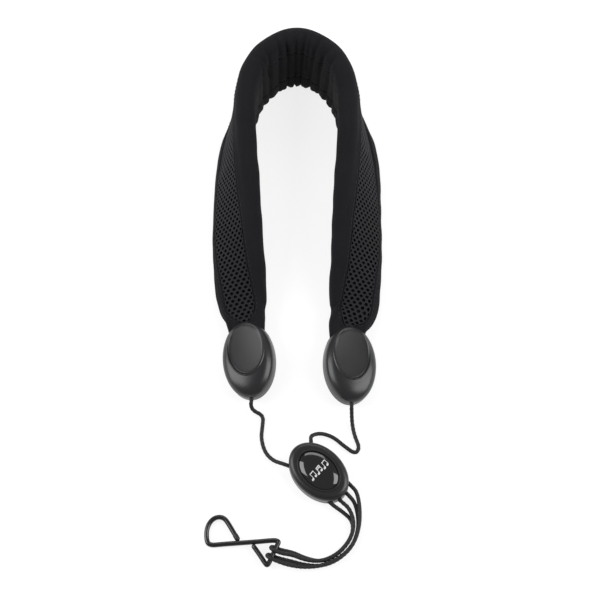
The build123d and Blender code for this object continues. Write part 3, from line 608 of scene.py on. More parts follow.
# %% Cord finish
def cord_finish():
    """Black polyester: its colour is painted lighter on the braid's crowns and darker in its gaps, as painted
    highlight and shade.
    """
    material, tree, shader = start_material(
        "braided_cord", Roughness=0.62, Specular_IOR_Level=0.4, Sheen_Weight=0.04, Sheen_Roughness=0.4
    )
    braid = add_node(tree, "ShaderNodeAttribute", attribute_name="braid").outputs["Fac"]
    fibre = noise(tree, object_place(tree), 2400.0, 3.0)
    # Painted highlight and shade: the braid's height lightens its crowns and darkens its gaps, mixed with
    # fine fibre tone.
    mask = maths(tree, "MULTIPLY_ADD", fibre, 0.5, maths(tree, "MULTIPLY", braid, 0.7))
    colour = blend_colours(tree, mask, (0.002, 0.002, 0.0023), (0.0145, 0.0145, 0.0165))
    tree.links.new(colour, shader.inputs["Base Color"])
    bump(tree, shader, fibre, 0.04 * MM)
    return material


BRAIDED_CORD = cord_finish()


# %% The four lengths of cord
LOOP_BEND = ((0, -0.157, 0), (0, -0.138, 0))
CORDS = []  # name, node, route, length, where it leaves, then the two ends of its bend
for side, length in (("left", 69.5 * MM), ("right", 81.6 * MM)):
    route = UPPER_ROUTES[side]
    names = (f"{side}_braided_cord", f"{side}_upper_cord")
    CORDS.append((*names, route, length, route[1], route[1], route[-1]))
for number, length in ((1, 167.4 * MM), (2, 191.3 * MM)):
    node = f"hook_cord_loop_{number}"
    route = LOOP_ROUTES[node]
    CORDS.append((f"hook_loop_cord_{number}", node, route, length, route[0], *LOOP_BEND))

for name, node, route, length, leaves_at, bend_start, bend_end in CORDS:
    line = smooth_line(route)
    cord = make_lines(name, [line])
    grow(cord, BRAID, {"Material": BRAIDED_CORD})
    plain_mesh(cord)
    dress(cord, BRAIDED_CORD)
    print(f"{name}: {line_length(line) / MM:.1f} mm of cord")
    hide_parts(node)
    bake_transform(cord)

# %% [markdown]
# ## The band's shape
# The band is a foam pad in cloth. It stands on its lower edge behind the neck, leans over along
# each leg and lies nearly flat where it meets its cap. So its shape is a section that travels:
# two flat faces joined by rolled edges. A few stations give the section's place, lean and size,
# and a natural cubic spline through them gives everything between, without flats or kinks.

# %% Stations of the right leg: x, y, lean, width, thickness and lift, in millimetres and degrees
BAND_STATIONS = [
    (0.0, 160.2, 103.0, 49.5, 12.5, 0.0), (12.5, 156.3, 101.5, 49.5, 12.5, 0.0),
    (23.5, 147.0, 98.0, 49.5, 12.5, 0.0), (31.0, 133.5, 92.0, 49.5, 12.5, 0.0),
    (35.0, 117.5, 84.0, 49.3, 12.5, 0.0), (37.4, 100.5, 75.5, 49.0, 12.5, 0.0),
    (38.5, 83.0, 67.5, 47.6, 12.5, 0.0), (38.9, 65.5, 60.0, 45.8, 12.5, 0.0),
    (38.7, 48.0, 53.0, 43.6, 12.5, 0.0), (37.9, 31.0, 46.0, 41.5, 12.5, 0.0),
    (36.7, 14.5, 36.0, 37.5, 12.0, 0.0), (35.3, -1.0, 22.0, 33.8, 11.0, 0.0),
    (33.9, -12.0, 16.0, 30.6, 9.6, 0.9),
]
RIGHT_LEG_SHIFT = (1.0, -3.0)
SHIFT_FADE = (60.0, -12.0)  # along Y, none to all of the shift
CAP_LEAN = 13.0
CAP_SIZES = {"length": 50.4, "width": 32.8}
CAP_PLACES = {"left": (-30.1, -45.1, 95.1, -1), "right": (33.1, -48.2, 91.6, 1)}
CAP_SPLIT_HEIGHT = 9.624
BAND_IN_CAP = [(26.2, 27.2, 8.0), (9.2, 26.0, 8.0)]  # reach from the cap's middle, width, thickness


def cap_axes(side):
    """Origin, across, along and front directions of a cap, in millimetres."""
    x, y, heading, hand = CAP_PLACES[side]
    slope = math.radians(CAP_LEAN)
    along = Vector((math.cos(math.radians(heading)), math.sin(math.radians(heading)), 0))
    outward = Vector((0, 0, 1)).cross(along) * -hand
    front = outward * math.sin(slope) + Vector((0, 0, math.cos(slope)))
    return Vector((x, y, CAP_SPLIT_HEIGHT)), along.cross(front), along, front


def eased(value, start, end):
    share = np.clip((value - start) / (end - start), 0, 1)
    return share * share * (3 - 2 * share)


def leg_stations(side):
    hand = 1 if side == "right" else -1
    rows = []
    for x, y, lean, width, thickness, lift in BAND_STATIONS:
        moved = float(eased(y, *SHIFT_FADE)) if hand > 0 else 0.0
        rise = thickness / 2 + (width - thickness) / 2 * math.sin(math.radians(lean)) + lift
        place = (hand * x + RIGHT_LEG_SHIFT[0] * moved, y + RIGHT_LEG_SHIFT[1] * moved, rise)
        rows.append((*place, lean, width, thickness))
    origin, _, along, _ = cap_axes(side)
    for reach, width, thickness in BAND_IN_CAP:
        rows.append((*(origin + along * reach), CAP_LEAN, width, thickness))
    return rows


stations = np.array(leg_stations("left")[:0:-1] + leg_stations("right"))
print("stations:", len(stations))


# %% A natural cubic spline through the stations
def natural_spline(knots, values, at):
    """Smooth curve through values at knots, read at other places, one column at a time."""
    gaps = np.diff(knots)
    size = len(knots)
    system = np.eye(size)
    load = np.zeros((size, values.shape[1]))
    slopes = np.diff(values, axis=0) / gaps[:, None]
    for row in range(1, size - 1):
        system[row, row - 1 : row + 2] = gaps[row - 1], 2 * (gaps[row - 1] + gaps[row]), gaps[row]
        load[row] = 6 * (slopes[row] - slopes[row - 1])
    bends = np.linalg.solve(system, load)
    cell = np.clip(np.searchsorted(knots, at) - 1, 0, size - 2)
    gap = gaps[cell][:, None]
    before = (knots[cell + 1] - at)[:, None]
    after = (at - knots[cell])[:, None]
    curve = (bends[cell] * before**3 + bends[cell + 1] * after**3) / (6 * gap)
    curve += (values[cell] / gap - bends[cell] * gap / 6) * before
    return curve + (values[cell + 1] / gap - bends[cell + 1] * gap / 6) * after


BAND_STEP = 0.85  # millimetres between neighbouring sections
knots = np.concatenate([[0], np.cumsum(np.linalg.norm(np.diff(stations[:, :3], axis=0), axis=1))])
fine = np.linspace(0, knots[-1], int(knots[-1] / BAND_STEP))
band = natural_spline(knots, stations, fine)
CENTRE = band[:, :3]
LEAN, WIDTH, THICK = band[:, 3], band[:, 4], band[:, 5]
ALONG = np.concatenate([[0], np.cumsum(np.linalg.norm(np.diff(CENTRE, axis=0), axis=1))])
run = np.gradient(CENTRE[:, :2], axis=0)
run /= np.linalg.norm(run, axis=1)[:, None]
OUTWARD = np.stack([-run[:, 1], run[:, 0], np.zeros(len(run))], axis=1)
UP = np.array([0.0, 0.0, 1.0])
slope = np.radians(LEAN)[:, None]
ACROSS = -OUTWARD * np.cos(slope) + UP * np.sin(slope)  # lower edge to upper edge
FACING = OUTWARD * np.sin(slope) + UP * np.cos(slope)  # out of the outer face
MIDDLE = len(CENTRE) // 2
FROM_MIDDLE = ALONG - ALONG[MIDDLE]
print(f"band: {len(CENTRE)} sections along {ALONG[-1]:.0f} mm")

# %% [markdown]
# ## Round the section
# Every section has the same columns of points, so that a column runs the whole length of the band:
# the open mesh in the middle of the outer face, cloth round the upper edge, the lining in the
# middle of the inner face, and cloth round the lower edge. The mesh narrows towards each cap and
# ends in a round tongue, and its seams simply follow the columns.

# %% Columns of the section
MESH_HALF = 13.2
LINING_HALF = 11.0
TAPER_LOSS, TAPER_SPAN = 3.6, (42.0, -4.0)
FLAT_MARGIN = 1.0
TONGUE_Y, TONGUE_LENGTH = -8.0, 14.0
side_drop = np.where(FROM_MIDDLE > 0, RIGHT_LEG_SHIFT[1], 0.0)
leg_y = CENTRE[:, 1] - side_drop * eased(CENTRE[:, 1], *SHIFT_FADE)
FLAT_HALF = (WIDTH - THICK) / 2
taper = np.minimum(MESH_HALF - TAPER_LOSS * eased(leg_y, *TAPER_SPAN), FLAT_HALF - FLAT_MARGIN)
tongue = np.sqrt(np.clip(1 - (np.clip(TONGUE_Y - leg_y, 0, None) / TONGUE_LENGTH) ** 2, 0.0004, 1))
PANEL_HALF = taper * tongue
RADIUS = THICK / 2
SEGMENTS = {"mesh": 16, "flat": 8, "roll": 14, "lining": 16}


def spread(start, end, count):
    """Values from start to end for every section, without the last one."""
    share = np.arange(count) / count
    return start[:, None] + (end - start)[:, None] * share


def columns():
    """Across and facing coordinates of every column, and the direction that each point faces."""
    flat, roll = SEGMENTS["flat"], SEGMENTS["roll"]
    lining = np.minimum(LINING_HALF, FLAT_HALF - 0.5)
    turn = np.pi * np.arange(roll) / roll
    straight = [
        (spread(-PANEL_HALF, PANEL_HALF, SEGMENTS["mesh"]), 1),
        (spread(PANEL_HALF, FLAT_HALF, flat), 1),
        None,
        (spread(FLAT_HALF, lining, flat), -1),
        (spread(lining, -lining, SEGMENTS["lining"]), -1),
        (spread(-lining, -FLAT_HALF, flat), -1),
        None,
        (spread(-FLAT_HALF, -PANEL_HALF, flat), 1),
    ]
    across, facing, lean_across, lean_facing = [], [], [], []
    hand = 1
    for piece in straight:
        if piece is None:
            out = np.sin(turn)[None, :] * np.ones((len(WIDTH), 1))
            level = hand * np.cos(turn)[None, :] * np.ones((len(WIDTH), 1))
            across.append(hand * (FLAT_HALF[:, None] + RADIUS[:, None] * out))
            facing.append(RADIUS[:, None] * level)
            lean_across.append(hand * out)
            lean_facing.append(level)
            hand = -hand
        else:
            places, face = piece
            across.append(places)
            facing.append(face * RADIUS[:, None] * np.ones_like(places))
            lean_across.append(np.zeros_like(places))
            lean_facing.append(face * np.ones_like(places))
    return [np.concatenate(rows, axis=1) for rows in (across, facing, lean_across, lean_facing)]


U, V, NU, NV = columns()
COLUMNS = U.shape[1]
SEAM = {"mesh_upper": 16, "lining_upper": 46, "lining_lower": 62, "mesh_lower": 92}
steps = np.hypot(np.diff(U, axis=1, append=U[:, :1]), np.diff(V, axis=1, append=V[:, :1]))
ROUND = np.concatenate([np.zeros((len(U), 1)), np.cumsum(steps, axis=1)[:, :-1]], axis=1)
GIRTH = steps.sum(axis=1)
NORMALS = ACROSS[:, None, :] * NU[..., None] + FACING[:, None, :] * NV[..., None]
SKIN = CENTRE[:, None, :] + ACROSS[:, None, :] * U[..., None] + FACING[:, None, :] * V[..., None]
print("columns:", COLUMNS, "seams:", SEAM)


# %% Points and closed meshes from the columns
def skin_points(lift):
    """Every column's points in metres, raised by lift millimetres, none below the ground."""
    points = SKIN + NORMALS * lift[..., None]
    points[..., 2] = np.maximum(points[..., 2], 0.05)
    return points * MM


def add_uv(piece, coordinates):
    """Give a mesh one UV map, from one pair of metres for each point."""
    layer = piece.data.uv_layers.new(name="UVMap")
    corners = np.zeros(len(piece.data.loops), dtype=np.int32)
    piece.data.loops.foreach_get("vertex_index", corners)
    layer.data.foreach_set("uv", coordinates[corners].astype(np.float32).ravel())


def strip_between(name, first, last, outer, inner):
    """A strip of cloth from one column to another, with an outer and an inner face and closed rims."""
    wanted = np.arange(first, last + 1) % COLUMNS
    rows, width = len(SKIN), len(wanted)
    layers = [skin_points(outer)[:, wanted], skin_points(inner)[:, wanted]]
    points = np.concatenate([layer.reshape(-1, 3) for layer in layers])
    grid = np.arange(rows * width).reshape(rows, width)
    under = grid + rows * width
    faces = np.stack([grid[:-1, :-1], grid[:-1, 1:], grid[1:, 1:], grid[1:, :-1]], -1).reshape(-1, 4)
    backs = np.stack([under[:-1, :-1], under[1:, :-1], under[1:, 1:], under[:-1, 1:]], -1).reshape(-1, 4)
    rim = np.concatenate([grid[0, :-1], grid[:-1, -1], grid[-1, :0:-1], grid[:0:-1, 0]])
    low = rim + rows * width
    edge = np.stack([rim, low, np.roll(low, -1), np.roll(rim, -1)], -1)
    piece = make_mesh(name, points, np.concatenate([faces, backs, edge]).tolist())
    along = np.repeat(ALONG[:, None], width, axis=1)
    across = np.concatenate([[0], np.cumsum(steps[MIDDLE][wanted[:-1]])])[None, :] * np.ones((rows, 1))
    flat = np.stack([along, across], -1).reshape(-1, 2) * MM
    add_uv(piece, np.concatenate([flat, flat]))
    return piece


def closed_skin(name, lift):
    """The whole section, closed round and at both ends."""
    rows = len(SKIN)
    points = skin_points(lift).reshape(-1, 3)
    grid = np.arange(rows * COLUMNS).reshape(rows, COLUMNS)
    side = np.roll(grid, -1, axis=1)
    faces = np.stack([grid[:-1], side[:-1], side[1:], grid[1:]], -1).reshape(-1, 4).tolist()
    faces.append(grid[0, ::-1].tolist())
    faces.append(grid[-1].tolist())
    piece = make_mesh(name, points, faces)
    flat = np.stack([np.repeat(ALONG[:, None], COLUMNS, axis=1), ROUND], -1).reshape(-1, 2)
    add_uv(piece, flat * MM)
    return piece


# %% [markdown]
# ## Puffing the pad
# Foam inside stretched cloth never has dead flat faces. A cloth simulation finds the shape that it
# takes: the pad starts slightly slim, is turned into even little faces, and is blown up from the
# inside with its ends held where the caps grip them. Gravity stays off, because the foam holds the
# pad up. How far the result stands off the plain section is read back as a lift for every column,
# so the cloth, the mesh and the seams can all be laid on the same puffed shape. The lift is evened
# out, clipped and made 0.7 as strong before it is used.

# %% Puff the pad
SLIM = 1.2
VOXEL = 4.5 * MM
MOST_MOVE = 5.0 * MM
GRIP_Y = -21 * MM
PUFF_FRAMES = 20
EVEN_PASSES = 24
PUFF_SHARE, PUFF_LIMITS = 0.7, (-1.0, 1.6)


def blown_up():
    """The slim pad after the cloth simulation, as a mesh of its own."""
    form = closed_skin("pad_form", np.full(U.shape, -SLIM))
    remesh = form.modifiers.new("even", "REMESH")
    remesh.mode = "VOXEL"
    remesh.voxel_size = VOXEL
    plain_mesh(form)
    before = [vertex.co.copy() for vertex in form.data.vertices]
    held = form.vertex_groups.new(name="held")
    gripped = [spot.index for spot in form.data.vertices if spot.co.y < GRIP_Y]
    held.add(gripped, 1.0, "REPLACE")
    settings = form.modifiers.new("puff", "CLOTH").settings
    settings.quality = 6
    settings.mass = 0.3
    settings.tension_stiffness = settings.compression_stiffness = 12
    settings.bending_stiffness = 1.2
    settings.use_pressure = True
    settings.uniform_pressure_force = 4
    settings.vertex_group_mass = "held"
    settings.effector_weights.gravity = 0
    scene.frame_start, scene.frame_end = 1, PUFF_FRAMES
    for number in range(1, PUFF_FRAMES + 1):
        scene.frame_set(number)
    plain_mesh(form)
    for vertex, start in zip(form.data.vertices, before):
        move = vertex.co - start
        if move.length > MOST_MOVE:
            vertex.co = start + move.normalized() * MOST_MOVE
    return subdivide(form)


def measured_lift(form):
    """How far the puffed form stands off the plain section, at every column, in millimetres."""
    depth = 4.0
    corners = [vertex.co for vertex in form.data.vertices]
    tree = BVHTree.FromPolygons(corners, [face.vertices for face in form.data.polygons])
    lift = np.zeros(U.shape)
    for row in range(len(SKIN)):
        for column in range(COLUMNS):
            normal = Vector(NORMALS[row, column])
            start = (Vector(SKIN[row, column]) - normal * depth) * MM
            found = tree.ray_cast(start, normal, 0.015)
            lift[row, column] = (found[3] / MM - depth) if found[0] else -SLIM
    return lift


def even_out(field, passes):
    """Average a field with its neighbours along the band and round it."""
    for _ in range(passes):
        along = np.concatenate([field[:1], field, field[-1:]])
        field = (along[:-2] + 2 * field + along[2:]) / 4
        field = (np.roll(field, 1, axis=1) + 2 * field + np.roll(field, -1, axis=1)) / 4
    return field


on_flat = np.abs(NV) > 0.99
form = blown_up()
puff = even_out(measured_lift(form), EVEN_PASSES)
bpy.data.objects.remove(form)
puff = PUFF_SHARE * np.clip(puff - np.median(puff[~on_flat]), *PUFF_LIMITS)
print(f"puff: {puff.min():.2f} to {puff.max():.2f} mm")

# %% [markdown]
# ## Wrinkles, scallops and gathers
# Bending the band round the neck leaves too much cloth on its inner face. It goes into upright
# creases, some forking like a Y, that run out over both edges. The lower edge is drawn into small
# scallops there, and each end is gathered into pleats where the cap grips it. These are real folds,
# so they are worked into the same lift as the puff, each crease a soft valley along a given line.
# Where each leg turns from standing to lying, the photograph shows the outer edge fuller
# than the plain section, so a long low bulge is added there.

# %% Creases: place along the band at the lower and at the upper edge, then from, to, width and depth
CREASES = [
    (-58, -52, -26, 10, 2.4, 0.45), (-49, -43, -26, 16, 2.2, 0.65), (-41, -33, -26, 24, 1.9, 0.9),
    (-33, -24, -24, 27, 1.7, 1.1), (-24, -30, 0, 30, 1.4, 0.7), (-22, -14.5, -26, 30, 1.5, 1.15),
    (-13, -8.5, -26, 31, 1.4, 1.2), (-5.5, -10, 5, 31, 1.2, 0.7), (-5, -2, -26, 28, 1.4, 1.0),
    (3, 3.5, -26, 31, 1.4, 1.2), (9, 7.5, -2, 31, 1.2, 0.75), (12, 12.5, -26, 30, 1.5, 1.15),
    (16, 21, 3, 31, 1.3, 0.8), (22, 19, -26, 24, 1.6, 1.0), (31, 28, -26, 28, 1.7, 1.0),
    (40, 36, -26, 20, 1.9, 0.8), (49, 46, -26, 16, 2.2, 0.6), (59, 55, -26, 10, 2.4, 0.4),
]
CREASE_DEPTH, INNER_RISE = 1.35, 0.25
HALF_HEIGHT = 22
middle_lining = ROUND[:, (SEAM["lining_upper"] + SEAM["lining_lower"]) // 2][:, None]
inner = middle_lining - ROUND
inner = np.where(inner < -GIRTH[:, None] / 2, inner + GIRTH[:, None], inner)
inner = np.where(inner > GIRTH[:, None] / 2, inner - GIRTH[:, None], inner)


def crease_field():
    field = np.zeros(U.shape)
    for low, high, start, end, width, depth in CREASES:
        line = low + (high - low) * (inner + HALF_HEIGHT) / (2 * HALF_HEIGHT)
        valley = np.exp(-(((FROM_MIDDLE[:, None] - line) / width) ** 2))
        reach = eased(inner, start - 3, start + 3) * (1 - eased(inner, end - 7, end + 3))
        field -= CREASE_DEPTH * depth * valley * reach
    behind_neck = eased(-np.abs(FROM_MIDDLE), -70, -40)[:, None]
    return field + INNER_RISE * behind_neck * eased(-np.abs(inner), -30, -20)


BULGES = [(-76, 28, 2.8), (74, 32, 4.4)]  # place along the band, length, height


def bulge_field():
    """Fullness of the outer lower edge where each leg turns from standing to lying."""
    around = np.abs(ROUND - (GIRTH - 16.0)[:, None])
    along = sum(high * np.exp(-(((FROM_MIDDLE - at) / length) ** 2)) for at, length, high in BULGES)
    return along[:, None] * eased(-around, -20.0, -6.0)


def scallop_field():
    """Small arches along the lower edge, behind the neck."""
    near_middle = eased(-np.abs(FROM_MIDDLE), -75, -30)[:, None]
    lower_roll = eased(-inner, 12, 20) * (1 - eased(-inner, 32, 40))
    waves = np.abs(np.sin(np.pi * FROM_MIDDLE / 6.4 + 0.5 * np.sin(FROM_MIDDLE / 11)))[:, None]
    return (0.55 * waves - 0.3) * near_middle * lower_roll


PLEAT_PITCH, PLEAT_DEPTH, PLEAT_REACH = 4.4, 0.95, 13.0


def gather_field():
    """Pleats along the band, deepest at the mouth of each cap."""
    mouths = [knots[1], knots[-2]]
    field = np.zeros(U.shape)
    for number, mouth_at in enumerate(mouths):
        near = np.exp(-(((fine - mouth_at) / PLEAT_REACH) ** 2))[:, None]
        pleats = 0.5 + 0.5 * np.cos(2 * np.pi * U / PLEAT_PITCH + 1.3 * np.sin(U / 3.0 + number))
        field -= PLEAT_DEPTH * near * pleats
    return field


RIPPLE = 0.035


def ripple_field():
    """Slow unevenness of hand-filled cloth, from a few fixed waves."""
    dice = random.Random(7)
    field = np.zeros(U.shape)
    for _ in range(9):
        pitch = dice.uniform(14, 46)
        skew = dice.uniform(-0.5, 0.5)
        phase = dice.uniform(0, 6.28)
        field += RIPPLE * np.sin(2 * np.pi * (ALONG[:, None] + skew * ROUND) / pitch + phase)
    return field


# Inside the caps the cloth is squeezed, so that none of it comes through their dishes.
CAP_SQUEEZE, SQUEEZE_START, SQUEEZE_FADE = 0.9, 16, 8
LIFT = puff + crease_field() + scallop_field() + gather_field() + ripple_field()
LIFT += bulge_field()
in_caps = np.clip((np.abs(FROM_MIDDLE) - (ALONG[-1] / 2 - SQUEEZE_START)) / SQUEEZE_FADE, 0, 1)[:, None]
LIFT -= CAP_SQUEEZE * in_caps
print(f"lift: {LIFT.min():.2f} to {LIFT.max():.2f} mm")

# %% [markdown]
# ## The pad and its covers
# Four pieces of cloth are sewn round the foam. The two edge covers are wide strips of stretch
# cloth that roll over the edges. Close to a seam the cloth rises into a small roll and then
# dives into the stitching, so each cover's height depends on its distance from its two seams.
# The pad itself shows only through the holes of the mesh.


# %% Cover heights
SEAM_ROLL = SEAM_TUCK = 0.30
ROLL_PLACE, ROLL_WIDTH, TUCK_WIDTH = 1.9, 1.2, 0.75
COVER_LIFT, LINING_SINK, PAD_SINK = 0.15, 0.05, 1.0
COVER_DEPTH = 0.9


def seam_profile(first, last):
    """Height of a cover over the pad: a roll beside its mesh seam, tucked in at both seams."""
    start = ROUND[:, first % COLUMNS][:, None]
    end = ROUND[:, last][:, None] if last < COLUMNS else GIRTH[:, None]
    distance = np.minimum(np.abs(ROUND - start), np.abs(end - ROUND))
    to_mesh = np.abs(ROUND - start)
    if last == COLUMNS:
        distance[:, 0] = 0
        to_mesh = np.abs(ROUND - end)
        to_mesh[:, 0] = 0
    rise = SEAM_ROLL * np.exp(-(((to_mesh - ROLL_PLACE) / ROLL_WIDTH) ** 2))
    return rise - SEAM_TUCK * np.exp(-((distance / TUCK_WIDTH) ** 2))


upper_height = LIFT + seam_profile(SEAM["mesh_upper"], SEAM["lining_upper"]) + COVER_LIFT
lower_height = LIFT + seam_profile(SEAM["lining_lower"], SEAM["mesh_lower"]) + COVER_LIFT
lining_height = LIFT - LINING_SINK
pad_height = LIFT - PAD_SINK

pad = closed_skin("foam_pad", pad_height)
dress(pad, PADDING_CLOTH, "neck_strap", ["pad_foam_core"])

COVERS = [  # name, its two seams, outer height, material, slot, node
    ("upper_edge_cover", "mesh_upper", "lining_upper", upper_height,
     EDGE_CLOTH, "edge_cloth", "pad_upper_edge_band"),
    ("lower_edge_cover", "lining_lower", "mesh_lower", lower_height,
     EDGE_CLOTH, "edge_cloth", "pad_lower_edge_band"),
    ("neck_lining", "lining_upper", "lining_lower", lining_height,
     LINING_CLOTH, "lining_cloth", "pad_lining"),
]
for name, first, last, height, material, slot, node in COVERS:
    cover = strip_between(name, SEAM[first], SEAM[last], height, LIFT - COVER_DEPTH)
    dress(cover, material, "neck_strap", [node])

# %% [markdown]
# ## Open mesh
# The outer face is an open knit with staggered holes, 4 mm apart. Some 1200
# equal holes are a job for Geometry Nodes. The carrier is a plain sheet of six-sided cells laid on
# the puffed surface, one cell for each hole. The tree then makes each cell a hole: it insets every
# face, deletes the middles and rounds what is left by subdividing it. A Solidify modifier gives
# the thread its thickness.

# %% Carrier of six-sided cells
HOLE_PITCH = 4.0
ROW_PITCH = 2.35
CELL_CORNERS = [(0, 2.026), (-2, 0.324), (-2, -0.324), (0, -2.026), (2, -0.324), (2, 0.324)]
NET_LIFT = 0.05
NET_THICK = 0.7 * MM


def face_profile(row, field):
    """A field across the outer face of one section, from its lower to its upper rolled edge."""
    flat, mesh = SEGMENTS["flat"], SEGMENTS["mesh"]
    order = np.arange(-flat, mesh + flat + 1) % COLUMNS
    return U[row, order], field[row, order]


def on_outer_face(along, across, lift):
    """Point on the puffed outer face, at a length along the band and a distance across it."""
    place = np.interp(along, ALONG, np.arange(len(ALONG)))
    row = min(int(place), len(ALONG) - 2)
    share = place - row
    points = []
    for number in (row, row + 1):
        height = RADIUS[number] + np.interp(across, *face_profile(number, LIFT)) + lift
        points.append(CENTRE[number] + ACROSS[number] * across + FACING[number] * height)
    return (points[0] * (1 - share) + points[1] * share) * MM


def cell_carrier():
    """A sheet of six-sided cells in staggered rows, cut off at the panel's edge."""
    points, faces, known = [], [], {}
    for row in range(int(ALONG[-1] / ROW_PITCH)):
        middle = (row + 0.5) * ROW_PITCH
        half = np.interp(middle, ALONG, PANEL_HALF)
        if half < 1.2:
            continue
        for number in range(-4, 5):
            centre = (number + 0.5 * (row % 2)) * HOLE_PITCH
            if abs(centre) > half + 1.0:
                continue
            face = []
            for across, along in CELL_CORNERS:
                key = (round(10 * (centre + across)), round(10 * (middle + along)))
                if key not in known:
                    edge = np.interp(middle + along, ALONG, PANEL_HALF)
                    known[key] = len(points)
                    inside = float(np.clip(centre + across, -edge, edge))
                    points.append(on_outer_face(middle + along, inside, NET_LIFT))
                face.append(known[key])
            corners = np.array([points[index] for index in face])
            spread_out = np.linalg.norm(np.cross(corners[2] - corners[0], corners[4] - corners[0]))
            if spread_out > 0.8 * MM * MM:
                faces.append(face)
    used = sorted({index for face in faces for index in face})
    order = {index: place for place, index in enumerate(used)}
    faces = [[order[index] for index in face] for face in faces]
    return make_mesh("mesh_panel", [points[index] for index in used], faces)


# %% Hole tree
def hole_tree():
    inputs = [
        ("Cells", "NodeSocketGeometry", None),
        ("Hole Size", "NodeSocketFloat", 0.6),
        ("Roundness", "NodeSocketInt", 1),
        ("Material", "NodeSocketMaterial", None),
    ]
    tree, given, result = new_tree("Holes", "GeometryNodeTree", inputs, [("Net", "NodeSocketGeometry")])
    inset = add_node(
        tree, "GeometryNodeExtrudeMesh", {"Mesh": given["Cells"], "Offset Scale": 0.0, "Individual": True},
        mode="FACES",
    )
    shrunk = add_node(
        tree, "GeometryNodeScaleElements",
        {"Geometry": inset.outputs["Mesh"], "Selection": inset.outputs["Top"], "Scale": given["Hole Size"]},
        domain="FACE",
    )
    opened = add_node(
        tree, "GeometryNodeDeleteGeometry",
        {"Geometry": shrunk.outputs[0], "Selection": inset.outputs["Top"]}, domain="FACE",
    )
    joined = add_node(
        tree, "GeometryNodeMergeByDistance", {"Geometry": opened.outputs[0], "Distance": 0.004 * MM}
    )
    rounded = add_node(
        tree, "GeometryNodeSubdivisionSurface", {"Mesh": joined.outputs[0], "Level": given["Roundness"]}
    )
    return close_tree(tree, given, result, rounded.outputs[0])


net = cell_carrier()
print("holes in the mesh:", len(net.data.polygons))
grow(net, hole_tree(), {"Material": NET_THREAD, "Hole Size": 0.70})
thread = net.modifiers.new("thread", "SOLIDIFY")
thread.thickness = NET_THICK
thread.offset = 0
plain_mesh(net)
dress(net, NET_THREAD, "neck_strap", ["pad_mesh_panel"])

# %% [markdown]
# ## Stitches
# Each seam is closed by a line of short stitches. One stitch is a small capsule, thinner at its
# ends. Geometry Nodes walks along the seam's line, drops a stitch every few millimetres and turns
# it to follow the line, which is far less work than placing five hundred of them by hand.


# %% Stitch tree
def stitch_tree():
    inputs = [
        ("Seams", "NodeSocketGeometry", None),
        ("Pitch", "NodeSocketFloat", 3.0 * MM),
        ("Stitch Length", "NodeSocketFloat", 2.1 * MM),
        ("Thread", "NodeSocketFloat", 0.22 * MM),
        ("Material", "NodeSocketMaterial", None),
    ]
    outputs = [("Stitches", "NodeSocketGeometry")]
    tree, given, result = new_tree("Stitches", "GeometryNodeTree", inputs, outputs)
    line = add_node(tree, "GeometryNodeMeshToCurve", {"Mesh": given["Seams"]})
    places = add_node(
        tree, "GeometryNodeResampleCurve", {"Curve": line.outputs[0], "Length": given["Pitch"]}, mode="LENGTH"
    )
    half = maths(tree, "MULTIPLY", given["Stitch Length"], 0.5)
    left = add_node(tree, "ShaderNodeCombineXYZ", {"X": maths(tree, "MULTIPLY", half, -1.0)})
    right = add_node(tree, "ShaderNodeCombineXYZ", {"X": half})
    core = add_node(
        tree, "GeometryNodeCurvePrimitiveLine", {"Start": left.outputs[0], "End": right.outputs[0]}
    )
    bent = add_node(tree, "GeometryNodeResampleCurve", {"Curve": core.outputs[0], "Count": 5}, mode="COUNT")
    ring = add_node(
        tree, "GeometryNodeCurvePrimitiveCircle", {"Resolution": 6, "Radius": given["Thread"]}
    )
    factor = add_node(tree, "GeometryNodeSplineParameter").outputs["Factor"]
    arch = maths(tree, "SINE", maths(tree, "MULTIPLY", factor, math.pi))
    thin = maths(tree, "MULTIPLY_ADD", arch, 0.75, 0.25)
    sized = add_node(tree, "GeometryNodeSetCurveRadius", {"Curve": bent.outputs[0], "Radius": thin})
    stitch = add_node(
        tree, "GeometryNodeCurveToMesh",
        {"Curve": sized.outputs[0], "Profile Curve": ring.outputs["Curve"], "Scale": thin, "Fill Caps": True},
    )
    tangent = add_node(tree, "GeometryNodeInputTangent").outputs[0]
    turned = add_node(tree, "FunctionNodeAlignRotationToVector", {"Vector": tangent}, axis="X")
    dots = add_node(
        tree, "GeometryNodeInstanceOnPoints",
        {"Points": places.outputs[0], "Instance": stitch.outputs[0], "Rotation": turned.outputs[0]},
    )
    return close_tree(tree, given, result, dots.outputs[0])


# %% Lines of stitches
STITCH_INSET = 1.6
VISIBLE = (FROM_MIDDLE > FROM_MIDDLE[0] + 18) & (FROM_MIDDLE < FROM_MIDDLE[-1] - 18)


def seam_line(column, away, heights):
    """A line beside a seam, on the cover's surface: away is in millimetres round the section."""
    line = []
    for row in np.flatnonzero(VISIBLE)[::3]:
        spot = ROUND[row, column % COLUMNS] + away
        spot = (spot + GIRTH[row]) % GIRTH[row]
        beside = [np.interp(spot, ROUND[row], values) for values in (U[row], V[row], NU[row], NV[row])]
        height = np.interp(spot, ROUND[row], heights[row]) + 0.05
        across = beside[0] + beside[2] * height
        facing = beside[1] + beside[3] * height
        place = (CENTRE[row] + ACROSS[row] * across + FACING[row] * facing) * MM
        line.append((place[0], place[1], max(place[2], 0.3 * MM)))
    return line


seam_lines = [
    seam_line(SEAM["mesh_upper"], STITCH_INSET, upper_height),
    seam_line(SEAM["mesh_lower"], -STITCH_INSET, lower_height),
    seam_line(SEAM["lining_upper"], -STITCH_INSET, upper_height),
    seam_line(SEAM["lining_lower"], STITCH_INSET, lower_height),
]
stitches = make_lines("seam_stitches", seam_lines)
grow(stitches, stitch_tree(), {"Material": STITCH_THREAD})
plain_mesh(stitches)
dress(stitches, STITCH_THREAD, "neck_strap")

